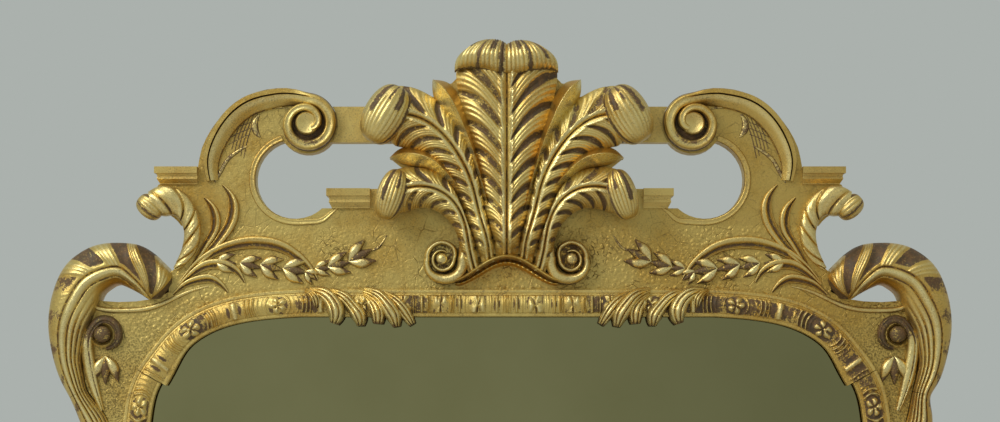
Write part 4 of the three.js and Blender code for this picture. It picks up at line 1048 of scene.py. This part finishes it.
def side_leaf(side):
    """Facets run across the leaf on a slant: each rises slowly and drops at its lower edge, and three
    fine lines run along it."""
    path = Path(smooth(crest_rows(side, LEAF_ROWS), 240))
    inward = np.linspace(-1, 1, 64)[None, :]
    flute = (path.along + 15 * inward + 4 * np.sin(path.along * 0.09)) / 23 % 1
    rib = ramp(flute, 0.0, 0.16) * (1 - 0.75 * flute ** 2) * (1 - ramp(flute, 0.93, 1.0))
    dome = 0.55 + 0.45 * np.sqrt(1 - inward**2)
    fine = 0.5 + 0.5 * np.cos(2 * np.pi * flute * 3)
    depth = BOARD + path.rise * dome + 4.0 * rib * dome + 0.35 * fine * rib
    gap = bump(np.minimum(flute, 1 - flute), 0, 0.12) * ramp(path.along, 30, 60)
    gap = gap * (0.3 + 0.6 * bump(inward, 0.4, 0.8))
    # Painted shade in the drop at each facet's lower edge; a painted highlight on the facets.
    burnish_and_painted_light = (0.6 + 0.3 * fine) * rib * dome
    shell = band(path, side * path.half * inward, depth - 0.8 * gap, BOARD, gap, burnish_and_painted_light)
    stripes = [(TOWARDS_US - side * 50, 16, 1, -1.5), (TOWARDS_US + side * 30, 12, 0.9, -1.5)]
    ball = curl(crest_rows(side, [LEAF_BALL])[0], BOARD + 12, (15, 19, 19), side * 50, 16, 0.09, stripes)
    return [shell, ball]


for side, end in SIDES:
    piece(f"side_leaf_{end}_carved", side_leaf(side), carving_gold, [f"side_leaf_{end}"])

# %% [markdown]
# ## The sight mouldings
# A narrow moulding runs round the glass: a flat inner fillet, a carved cushion and a flat outer
# band. The cushion is cut in groups that come round again and again: a flower, nested arcs on both
# sides of it, and a block whose slots are painted shade. On the straight lengths above and below the
# glass the arcs are upright reeds. The pattern is a function of the length along and the distance
# out of the glass.

# %% The moulding's section
MOULDING_RISE = moulding_box["depth"][1] - BOARD
CUSHION_IN, CUSHION_OUT = 5, 29  # the carved cushion's edges, out of the edge of the glass
CUSHION_MIDDLE = (CUSHION_IN + CUSHION_OUT) / 2


def rocaille(along, out, period, size, lean=1.0, pitch=5.4):
    """Height, a red-brown mark and a burnish mark: a flower at the middle of each period, ringed by
    nested arcs (a cosine of the distance from the flower); beyond them a block. The low parts near
    the flower and some along the run take painted shade, and so do the block's slots, which are
    painted only; the raised carving carries a painted highlight. out is the distance from the edge
    of the glass, size the flower's radius, pitch the width of an arc; a lean under 1 straightens the
    arcs into upright reeds."""
    place = np.mod(along, period) - period / 2
    count = np.floor(along / period)
    aside = lean * (out - CUSHION_MIDDLE)
    radius = np.hypot(place, aside)
    angle = np.arctan2(aside, place)
    uneven = 1 + 0.25 * np.sin(3 * angle + 1.7 * count) + 0.15 * np.sin(2 * angle + count)
    petals = bump(radius, 0.55 * size, 0.62 * size * uneven) * (0.6 + 0.4 * np.cos(5 * angle + 2.4 * count))
    heart = 0.8 * bump(np.hypot(place - 0.2 * size, aside - 0.1 * size), 0, 0.32 * size)
    arcs = (0.5 + 0.5 * np.cos(2 * np.pi * radius / pitch)) ** 2
    arcs = arcs * ramp(radius, size, size + 2) * (1 - ramp(np.abs(place), 0.4 * period - 3, 0.4 * period))
    arcs = arcs * (0.55 + 0.45 * np.sin(radius * 0.21 + 2.1 * count))
    block = 0.9 * bump(np.abs(place), period / 2, 0.05 * period)
    height = np.maximum(np.maximum(petals, heart), np.maximum(0.95 * arcs, block))
    # Painted shade in the low parts near the flower and here and there along the run.
    bare = (1 - ramp(height, 0.05, 0.3)) * (1 - ramp(radius, size - 2, size + 3)) * 0.8
    bare = bare + 0.6 * bump(np.sin(along * 0.043 + 1), 1, 0.5) * (1 - ramp(height, 0.1, 0.5))
    # The slots are painted shade only; the surface has no cut there.
    slot = bump(np.abs(place), 0.435 * period, 0.03 * period) * bump(out, CUSHION_MIDDLE, 11)
    return height, np.maximum(bare, slot), height


def moulding_depth(along, out, period, size, **reeds):
    """A low inner fillet, a cushion whose section is half a sine with the carving on it, and a flat outer
    band with one line cut into it, as depths."""
    on = ramp(out, CUSHION_IN - 0.5, CUSHION_IN + 1.5) * (1 - ramp(out, CUSHION_OUT - 1.5, CUSHION_OUT))
    across = np.clip((out - CUSHION_IN) / (CUSHION_OUT - CUSHION_IN), 0, 1)
    fillet = 0.46 * ramp(out, -0.5, 1.2)
    outer = 0.42 - 0.06 * bump(out, CUSHION_OUT + 2, 0.9)
    share = np.where(out < CUSHION_IN + 0.2, fillet, 0.5 + 0.24 * np.sin(np.pi * across))
    share = np.where(out < CUSHION_OUT, share, outer)
    share = share * (1 - 0.9 * ramp(out, MOULDING_WIDTH - 0.8, MOULDING_WIDTH))
    height, bare, high = rocaille(along, out, period, size, **reeds)
    depth = BOARD + MOULDING_RISE * (share + 0.24 * on * height)
    # The dark lines at the cushion's edges and in the cut line of the outer band are painted shade; the
    # carving's tops and the bead carry a painted highlight.
    lines = ((0.45, CUSHION_OUT + 0.2, 1.0), (0.3, CUSHION_OUT + 2, 0.8), (0.25, CUSHION_IN + 0.4, 1.0))
    bole_and_shade = on * bare + sum(dark * bump(out, at, wide) for dark, at, wide in lines)
    burnish_and_painted_light = on * 0.9 * high**2 + 0.2 * bump(out, 34, 2)
    return depth, bole_and_shade, np.clip(burnish_and_painted_light, 0, 1)


def moulding_run(points, normals, along, period=112.0, size=12.0, lip=0.0, wear_and_shade=0.1, **reeds):
    """The moulding carried along points on the sight edge, out along their normals; lip is how far its
    inner edge hangs over the glass, and the value after lip how strongly painted shade darkens the
    low parts between the groups."""
    out = np.concatenate([np.linspace(0, CUSHION_IN - 0.4, 6), np.linspace(CUSHION_IN, CUSHION_OUT + 0.4, 42),
                          np.linspace(CUSHION_OUT + 0.9, MOULDING_WIDTH, 11)])
    depth, bole_and_shade, burnish_and_painted_light = moulding_depth(along[:, None], out[None, :], period, size, **reeds)
    low = ramp(out, CUSHION_IN, CUSHION_IN + 2) * (1 - ramp(out, CUSHION_OUT - 3, CUSHION_OUT - 0.5))
    # Painted shade in the low parts of the cushion, away from the highlights.
    bole_and_shade = bole_and_shade + wear_and_shade * (1 - ramp(burnish_and_painted_light, 0.05, 0.4)) * low
    reach = out[None, :] - np.reshape(lip, (-1, 1)) * (1 - ramp(out, 0, 14))
    x = points[:, :1] + normals[:, :1] * reach
    z = points[:, 1:] + normals[:, 1:] * reach
    rear = np.stack([x, 0 * x + BOARD, z], -1)[:, [-1, 0]]
    rings = np.concatenate([np.stack([x, depth, z], -1), rear], 1)
    return tube(rings, closed_behind(bole_and_shade), closed_behind(burnish_and_painted_light))


# %% [markdown]
# ## Round the glass
# The lengths are mitred nowhere: the top one runs in under the clasps and stops there, and each
# side is one bent run that is sawn through at the corner pieces. So the side is worked out once,
# from the clasp down to the middle of the foot, and cut by height.

# %% Round the glass
CORNER = [[0, 139], [9, 97], [28, 67], [52, 39], [86, 18], [131, 6], [197, 0]]  # inward, down
CORNER_JOINT = SIGHT_TOP - 88
JOINT_GAP = 0.3
CLASP_EDGE = corners("leaf_clasp_right")["x"][1] - PLUME_X
HIDDEN_JOINT = CLASP_EDGE - 60  # the mouldings meet under the leaves of the clasp


def sight_run(side, count):
    """The sight edge from the clasp round both corners: points, outward normals and length so far."""
    corner = np.array([[sight_x(side, inward), SIGHT_TOP - down] for inward, down in CORNER[::-1]])
    corner = smooth(np.concatenate([corner, 0 * corner], 1), 60)[:, :2]
    first = [PLUME_X + side * (HIDDEN_JOINT + JOINT_GAP), SIGHT_TOP]
    upper = np.concatenate([np.linspace(first, corner[0], 14, endpoint=False), corner])
    drop = np.linspace(upper[-1], upside_down(upper[-1:])[0], 60, endpoint=False)[1:]
    points = np.concatenate([upper, drop, upside_down(upper)[::-1]])
    along = np.concatenate([[0], np.cumsum(np.hypot(*np.diff(points, axis=0).T))])
    at = np.linspace(0, along[-1], count)
    points = np.stack([np.interp(at, along, points[:, k]) for k in (0, 1)], -1)
    run = np.gradient(points, axis=0)
    run /= np.linalg.norm(run, axis=1)[:, None]
    normals = np.stack([-side * run[:, 1], side * run[:, 0]], -1)
    return points, normals, at - (CLASP_EDGE - HIDDEN_JOINT)


def straight_moulding(z, outward, half_length, phase):
    """A straight length about the plumes' middle line; its pattern is mirrored left and right."""
    x = np.linspace(-half_length, half_length, 620)
    points = np.stack([PLUME_X + x, 0 * x + z], -1)
    normals = np.stack([0 * x, 0 * x + outward], -1)
    return moulding_run(points, normals, np.abs(x) + phase, 50.0, 10.0, lean=0.3, pitch=3.5)


for name, z, outward, reach, phase in (("top", SIGHT_TOP, 1, HIDDEN_JOINT, 37),
                                       ("bottom", SIGHT_FOOT, -1, CLASP_EDGE, 40)):
    shell = straight_moulding(z, outward, reach - JOINT_GAP, phase)
    piece(f"sight_moulding_{name}_carved", [shell], moulding_gold, [f"sight_moulding_{name}"])

LOWER_JOINT = 2 * MIDDLE_Z - CORNER_JOINT
SIDE_CUTS = (("sight_moulding_top", math.inf, CORNER_JOINT), ("sight_moulding", CORNER_JOINT, LOWER_JOINT),
             ("sight_moulding_bottom", LOWER_JOINT, -math.inf))
for side, end in SIDES:
    points, normals, along = sight_run(side, 2000)
    height = points[:, 1]
    beside = side * (points[:, 0] - PLUME_X) >= CLASP_EDGE + JOINT_GAP  # below the glass there is no clasp
    for name, high, low in SIDE_CUTS:
        part = (height <= high - JOINT_GAP / 2) & (height >= low + JOINT_GAP / 2)
        part &= beside | (height > MIDDLE_Z)
        lip = (name == "sight_moulding_top") * 8 * ramp(SIGHT_TOP - height[part], 35, 85)
        # Painted shade: the low parts are darker on the right side than on the left.
        shell = moulding_run(points[part], normals[part], along[part], lip=lip, wear_and_shade=0.38 + 0.25 * side)
        piece(f"{name}_{end}_carved", [shell], moulding_gold, [f"{name}_{end}"])

# %% [markdown]
# ## The clasps
# Two clusters of curled leaves spill over the moulding on to the glass. Each lobe is a fluted
# tongue that arches forward and falls towards its tip, where painted shade stands for its turning
# under.

# %% Leaf clasps
LOBES = (  # each lobe: out of the middle line, height over the edge of the glass, half width, rise
    [[268, 36, 3, 8], [260, 32, 5, 15], [253, 23, 7, 18], [252, 12, 4, 13]],
    [[262, 36, 4, 10], [243, 31, 9, 19], [230, 18, 12, 25], [226, 5, 12, 27], [229, -9, 6, 18]],
    [[236, 35, 4, 10], [216, 26, 8, 19], [203, 12, 9.5, 24], [195, -1, 10, 26], [194, -12, 5, 18]],
    [[190, 30, 4, 9], [177, 18, 8, 18], [171, 5, 10.5, 23], [171, -9, 7, 18]],
    [[190, 36, 4, 10], [171, 29, 8, 20], [159, 16, 10.5, 27], [150, 2, 11, 28], [146, -13, 5, 19]],
    [[164, 32, 4, 9], [148, 21, 8, 18], [136, 7, 9, 22], [125, -10, 5, 16]])


def clasp(side):
    """Tongues side by side: an arch in depth along each, three flutes across with a painted highlight,
    cuts between them dark with painted shade, and painted shade on the edges and the tip.
    """
    shells = []
    for rows in LOBES:
        rows = plume_rows(side, rows)
        rows[:, 1] += SIGHT_TOP
        path = Path(smooth(rows, 86))
        u = np.linspace(-1, 1, 48)[None, :]
        flute = 0.5 + 0.5 * np.cos(2 * np.pi * 1.5 * u)
        dome = 0.3 + 0.7 * np.sqrt(np.clip(1 - np.abs(u) ** 2.4, 0, 1))
        cut = bump(np.abs(u), 0.34, 0.1) * ramp(path.along, 6, 16)
        tip = ramp(path.along, path.length - 7, path.length)
        depth = BOARD + path.rise * dome + 1.6 * flute * dome - 1.2 * cut
        # Painted shade in the cuts, along the edges and on the tip; painted highlight on the flutes.
        bole_and_shade = 0.8 * cut + 0.9 * ramp(np.abs(u), 0.86, 0.98) + 0.6 * tip
        burnish_and_painted_light = 0.9 * flute * ramp(path.along, 8, 22) * (1 - tip)
        shells.append(band(path, path.half * u, depth, BOARD, bole_and_shade, burnish_and_painted_light))
    return shells


for side, end in SIDES:
    piece(f"leaf_clasp_{end}_carved", clasp(side), carving_gold, [f"leaf_clasp_{end}"])

# %% [markdown]
# ## Leaves and husks on the ground
# The flat ground carries low leaves, a chain of husks and a small scroll on each shoulder. Each
# is a narrow raised band along a drawn line: a convex half with a painted highlight and a hollow
# half in red-brown as painted shade.
# They stand only a few millimetres high, so they are laid on the boards as separate low carvings.

# %% Low carving
GROUND_LEAVES = (  # out of the middle, height, half width, rise
    [[427, -18, 1.5, 2], [405, 8, 3.5, 4], [385, 22, 5, 5], [365, 31, 6, 6], [338, 37, 7, 6], [316, 37, 7, 6],
     [292, 32, 6.5, 6], [271, 20, 5.5, 5], [255, 5, 4, 4], [243, -12, 1.2, 2]],
    [[427, -20, 1.5, 2], [411, -5, 3.5, 4], [394, 6, 5.5, 5], [377, 9, 6, 6], [360, 5, 5.5, 5],
     [348, -3, 3.5, 4], [340, -16, 1, 2]],
    [[435, -32, 1.5, 2], [418, -18, 3.5, 4], [401, -12, 5, 5], [385, -11, 5, 5], [372, -18, 3.5, 4],
     [362, -29, 1, 2]],
    [[370, 114, 1, 2], [360, 102, 3.5, 4], [355, 85, 6, 6], [358, 66, 6.5, 6], [370, 45, 5.5, 5],
     [384, 28, 4.5, 4], [397, 15, 3.5, 3], [411, 0, 1.5, 2]],
    [[394, 97, 1, 2], [384, 85, 4, 5], [379, 70, 5.5, 6], [381, 53, 5, 5], [391, 36, 4, 4], [402, 18, 3, 3],
     [411, 5, 1.2, 2]])
GROUND_LINES = (  # thin reeds: under the pierced hole, and the engraved lines inside the C-scrolls
    [[549, -42, 1.5, 2], [537, -49, 3, 3.5], [504, -53, 3.5, 4], [467, -50, 3.5, 4], [438, -39, 3, 3],
     [411, -27, 2, 2], [388, -21, 1, 1]],
    [[381, 117, 1, 1], [373, 131, 2.4, 2], [365, 146, 2.6, 2], [352, 158, 2.4, 2], [338, 166, 1, 1]],
    [[321, 209, 1, 1], [327, 199, 4, 2.6], [326, 186, 4.2, 2.6], [320, 178, 1, 1]],
    [[334, 211, 0.8, 1], [312, 217, 1.5, 1.6], [295, 218, 1.5, 1.6], [282, 216, 0.8, 1]],
    [[176, 26, 1, 1], [165, 29, 1.6, 2], [157, 37, 1.4, 1.6], [151, 47, 0.7, 0.8]])
STEM = [[528, -186, 3, 4], [540, -150, 7, 8], [547, -116, 8.5, 11], [548, -93, 8, 12], [541, -76, 7, 12],
        [529, -66, 6.5, 11], [515, -69, 6, 10], [507, -84, 5.5, 10], [511, -98, 4.5, 9], [523, -104, 2.5, 7]]
HATCHES = [  # fine crossed lines inside the C-scrolls: five that lean, four across them
    [[358 - 4 * k, 162 - 3 * k, 0.5, 0.6], [353 - 5 * k, 180 + 2 * k, 0.7, 0.7],
     [344 - 5 * k, 201 + 2 * k, 0.4, 0.5]] for k in range(5)]
HATCHES += [[[362, 168 + 8 * k, 0.4, 0.5], [348, 176 + 8 * k, 0.6, 0.6], [333, 182 + 8 * k, 0.4, 0.5]]
            for k in range(4)]
HUSKS = (  # out, height, angle over the line to the middle, length
    (378, 11, -3, 24), (346, 10, -14, 26), (319, 8, -14, 28), (289, 3, -10, 30), (259, -1, -38, 18),
    (246, 3, 0, 20), (229, 5, 12, 28), (201, 12, 28, 32), (524, -114, -90, 34))


def face_rows(side, rows):
    """Rows drawn on the face of the boards, out of the object's middle."""
    rows = np.array(rows, float)
    rows[:, 0] *= side
    return rows


def low_leaf(side, rows, stations=90):
    """Across: a convex half towards the outside with a painted highlight, a hollow in red-brown as
    painted shade, and a thin lip.
    """
    path = Path(smooth(face_rows(side, rows), stations))
    u = np.linspace(-1, 1, 30)[None, :]
    height = 0.35 + 0.55 * ramp(u, -0.25, 0.25) + 0.1 * bump(u, 0.5, 0.5) + 0.3 * bump(u, -0.86, 0.2)
    height = height * (1 - np.abs(u) ** 10)
    hollow = bump(u, -0.35, 0.42)
    depth = BOARD + 0.2 + path.rise * np.clip(height - 0.32 * hollow, 0.02, 1)
    # Painted shade in the hollow and along both edges.
    bare = hollow * 0.95 + 0.7 * ramp(np.abs(u), 0.9, 1.0)
    return band(path, side * 1.25 * path.half * u, depth, BOARD - 1, bare, 0.35 * bump(u, 0.5, 0.5))


def low_reed(side, rows, bole_and_shade=0.0, stations=80):
    """A half-round reed with painted shade along both of its feet and a painted highlight on top."""
    path = Path(smooth(face_rows(side, rows), stations))
    u = np.linspace(-1, 1, 14)[None, :]
    depth = BOARD + 0.1 + path.rise * np.sqrt(1 - u**2)
    # Painted shade along the reed's feet, where it meets the ground.
    bole_and_shade = bole_and_shade + ramp(np.abs(u), 0.75, 1)
    return band(path, side * path.half * u, depth, BOARD - 1, bole_and_shade, 0.5 * (1 - u**2))


# %% [markdown]
# ## Husks, rims and the shoulder's scroll
# A husk is a split seed case: two petals that curve apart and one between them, strung in a chain
# that shrinks towards its ends. One drawn petal does for all, turned and scaled, as a carver uses
# one gouge. The scroll on the shoulder is a half-round stem that winds round a bare eye.

# %% Husks, rims and the shoulder's scroll
SIDE_PETAL = [[0, 0, 1, 3], [0.2, 0.16, 0.13, 6], [0.5, 0.33, 0.17, 7], [0.78, 0.42, 0.1, 5],
              [1.0, 0.5, 0.03, 3]]  # forward, sideways and half width as shares of the length, rise
HEART = [[0.05, 0, 0.05, 4], [0.4, 0, 0.16, 6], [0.75, 0, 0.12, 5], [1.08, 0, 0.03, 3]]
PETALS = ((SIDE_PETAL, 1), (SIDE_PETAL, -1), (HEART, 1))
HUSK_LENGTH = 28  # of the husk that the petals' rises are given for


def husk(side, out, up, angle, length):
    """Three petals from one base, each a small dome; the two outer ones curve apart and end in points."""
    shells = []
    turn = math.radians(angle)
    for petal, way in PETALS:
        forward, sideways, half, rise = np.array(petal, float).T
        half = np.maximum(np.minimum(half, 0.17) * length * 1.3, 0.6)
        half[0] = 1.2
        sideways = way * sideways
        rows = np.stack([out - length * (forward * math.cos(turn) - sideways * math.sin(turn)),
                         up + length * (forward * math.sin(turn) + sideways * math.cos(turn)),
                         half, rise * length / HUSK_LENGTH], -1)
        path = Path(smooth(face_rows(side, rows), 36))
        u = np.linspace(-1, 1, 18)[None, :]
        depth = BOARD + 0.2 + path.rise * np.sqrt(1 - u**2)
        tip = ramp(path.along, 0.45 * path.length, 0.85 * path.length)
        # The middle petal and the outer petals' tips are red-brown, partly as painted shade; the outer petals
        # carry a painted highlight, and their edges painted shade.
        bare, bright = (0.75 + 0 * tip, 0.0) if petal is HEART else (1.1 * tip * (0.6 - 0.4 * u), 0.95)
        bole_and_shade = bare + 0.8 * ramp(np.abs(u), 0.8, 1.0)
        shells.append(band(path, path.half * u, depth, BOARD - 1, bole_and_shade, bright * (1 - u**2) * (1 - tip)))
    return shells


OPENING = (-190, 62)  # the pierced opening's middle: out of the shoulder line, up from the crest joint
RIM_RADIUS = 57.5
TURN_UP = [[252, 65, 4, 2.4], [236, 68, 3.5, 2], [225, 77, 2.5, 1.6], [215, 84, 1, 1]]


def opening_rim(side):
    """A flat fillet round the pierced opening of the crest: a circle, then a turn up to the inner ledge."""
    angle = np.radians(np.linspace(72, -88, 60))
    out = SHOULDER + OPENING[0] + RIM_RADIUS * np.cos(angle)
    up = CREST_Z + OPENING[1] + RIM_RADIUS * np.sin(angle)
    circle = np.stack([out, up, 0 * angle + 4.2, 0 * angle + 2.6], -1)
    path = Path(smooth(face_rows(side, np.concatenate([circle[::4], TURN_UP])), 220))
    u = np.linspace(-1, 1, 14)[None, :]
    depth = BOARD + 0.1 + path.rise * (1 - np.abs(u) ** 6) * (1 - 0.3 * bump(u, -0.1, 0.7))
    # Painted shade along both feet of the fillet, and a faint painted highlight on its top.
    return band(path, path.half * u, depth, BOARD - 1, 0.9 * ramp(np.abs(u), 0.8, 1), 0.2 * (1 - np.abs(u)))


STEM_EYE = (65, -85)  # out of the shoulder line, height
STEM_EYE_PROFILE = [(0, 18), (4, 17.6), (8, 16), (10.6, 12.5), (11, 0)]


def shoulder_volute(side):
    """The small scroll on a shoulder: a stem that winds round a bare eye."""
    path = Path(smooth(face_rows(side, STEM), 160))
    u = np.linspace(-1, 1, 24)[None, :]
    round_in = ramp(path.along, 0.45 * path.length, 0.6 * path.length)
    depth = BOARD + 0.2 + path.rise * (0.25 + 0.75 * np.sqrt(1 - u**2)) - 1.5 * bump(u, 0.3, 0.25)
    # Painted shade in the groove along the stem, and the part that winds round the eye is red-brown; the stem
    # carries a painted highlight until it winds in.
    bole_and_shade = 0.9 * round_in + 0.8 * bump(u, 0.3, 0.2)
    stem = band(path, path.half * u, depth, BOARD - 1, bole_and_shade, (1 - round_in) * (1 - u**2))
    return [stem, turned((out_x(side, STEM_EYE[0]), STEM_EYE[1]), STEM_EYE_PROFILE, bole_and_shade=0.75)]


def turned_down(shells):
    """The same shells turned over about the middle of the glass."""
    return [{**shell, "points": shell["points"] * [1, 1, -1] + [0, 0, 2 * MIDDLE_Z]} for shell in shells]


for side, end in SIDES:
    leaves = [low_leaf(side, rows) for rows in GROUND_LEAVES]
    lines = [low_reed(side, rows, 0.5 * (number > 0)) for number, rows in enumerate(GROUND_LINES)]
    lines += [low_reed(side, rows, 0.8, stations=30) for rows in HATCHES]
    piece(f"ground_leaves_{end}", leaves + lines + [opening_rim(side)], carving_gold)
    piece(f"husk_chain_{end}", [shell for h in HUSKS for shell in husk(side, *h)], carving_gold)
    piece(f"shoulder_volute_{end}", shoulder_volute(side), carving_gold)
    foot_shells = turned_down(shoulder_volute(side) + husk(side, *HUSKS[-1]))
    piece(f"foot_volute_{end}", foot_shells, carving_gold)

# %% [markdown]
# ## Materials for the pieces that stay as the model made them
# Boards, ledges and bars have their right shape already, so they only get a finish: gilded in
# front; the slips and backboards are bare pine; the hanging plates, rings and screws are iron.

# %% Dress the CAD nodes
def dress(names, material):
    """The material in place of whatever the nodes came with."""
    for name in names:
        nodes[name].data.materials.clear()
        nodes[name].data.materials.append(material)


ends = [end for _, end in SIDES]
dress(["top_rail", "bottom_rail", "stile_left", "stile_right"], board_gold)
dress(["crest_board_centre", "crest_board_left", "crest_board_right"], crest_gold)
dress(["plume_backing", "base_moulding"]
      + [f"{name}_{end}" for end in ends for name in ("bar", "outer_ledge", "inner_ledge")], ledge_gold)
dress([name for name in nodes if name.startswith(("slip_", "backboard_"))], bare_pine)
dress([name for name in nodes if name.startswith("hanger_")], old_iron)
dress(["mirror_plate"], silvered_plate)
print(f"{len(nodes)} CAD nodes, {len(made)} carved pieces")

# %% [markdown]
# ## The studio
# A pale floor, a large soft lamp from above left, a weak one from the right and a third from
# above, and a plain grey surround that the gold can mirror. Gold shows only what it reflects, so
# large lamps matter more than strong ones: small lamps would leave it black with white dots.

# %% Floor and light
BACKDROP = colour(171, 177, 173)
SURROUND_LIGHT = (0.55, 0.55, 0.55, 1)
LAMP_AIM = (0, 0, -0.1)
LAMPS = (("key", (-2.4, -2.3, 2.0), 1.9, 64), ("fill", (2.4, -2.8, 0.7), 1.8, 2.5),
         ("top", (-0.5, -0.8, 2.6), 1.4, 13))  # name, place, size in metres, power in watts


def studio_floor():
    """A plain pale floor, a millimetre under the object."""
    bpy.ops.mesh.primitive_plane_add(size=14, location=(0, 0, (BASE_Z - 1) * MM))
    floor = bpy.context.active_object
    floor.name = "floor"
    material, shader, n = new_material("pale floor")
    n.feed(shader, Base_Color=n.mix(n.noise(n.place(), 3.0), colour(196, 198, 195), colour(190, 192, 189)))
    shader.inputs["Roughness"].default_value = 0.8
    floor.data.materials.append(material)


def soft_lamp(name, place, size, power):
    """A round area lamp, turned so that its own -z axis looks at the object."""
    lamp = bpy.data.lights.new(name, "AREA")
    lamp.shape, lamp.size, lamp.energy = "DISK", size, power
    holder = bpy.data.objects.new(name, lamp)
    holder.location = place
    toward = np.array(LAMP_AIM) - np.array(place)
    yaw = math.atan2(toward[1], toward[0])
    pitch = math.atan2(toward[2], math.hypot(toward[0], toward[1]))
    holder.rotation_euler = (pitch + math.pi / 2, 0, yaw - math.pi / 2)
    bpy.context.scene.collection.objects.link(holder)


def studio_world():
    """A soft grey surround: the camera and the gold see the backdrop's tone, all else gets a plain grey."""
    world = bpy.data.worlds.new("studio")
    world.use_nodes = True
    bpy.context.scene.world = world
    n = Nodes(world.node_tree)
    shader = world.node_tree.nodes["Background"]
    rays = n.add("ShaderNodeLightPath").outputs
    seen = n.math("MAXIMUM", rays["Is Camera Ray"], rays["Is Glossy Ray"])
    seen = n.math("MAXIMUM", seen, rays["Is Transmission Ray"])
    n.feed(shader, Color=n.mix(seen, SURROUND_LIGHT, BACKDROP))
    shader.inputs["Strength"].default_value = 1.0


studio_floor()
studio_world()
for lamp_values in LAMPS:
    soft_lamp(*lamp_values)

# %% [markdown]
# ## The camera
# The camera stands four metres away, so that the frame is seen almost square on, and a little
# below the middle of the crest, looking slightly up. Its lens follows from two lengths: what the
# picture's width takes in at the carving, and the distance.

# %% Camera
PHOTO_WIDTH = 1.325  # metres across the picture, at the front of the carving
DISTANCE = 4.0
AIM = (0.0, -0.06, 0.078)
CAMERA_DROP = 0.228  # the camera stands this far below the point it looks at

camera = bpy.data.cameras.new("camera")
camera.lens = camera.sensor_width / PHOTO_WIDTH * DISTANCE
holder = bpy.data.objects.new("camera", camera)
away = math.sqrt(DISTANCE**2 - CAMERA_DROP**2)
holder.location = (AIM[0], AIM[1] - away, AIM[2] - CAMERA_DROP)
holder.rotation_euler = (math.pi / 2 + math.asin(CAMERA_DROP / DISTANCE), 0, 0)
bpy.context.scene.collection.objects.link(holder)
bpy.context.scene.camera = holder
bpy.context.scene.view_settings.view_transform = "Standard"
print(f"lens {camera.lens:.1f} mm, camera at {tuple(round(v, 3) for v in holder.location)}")
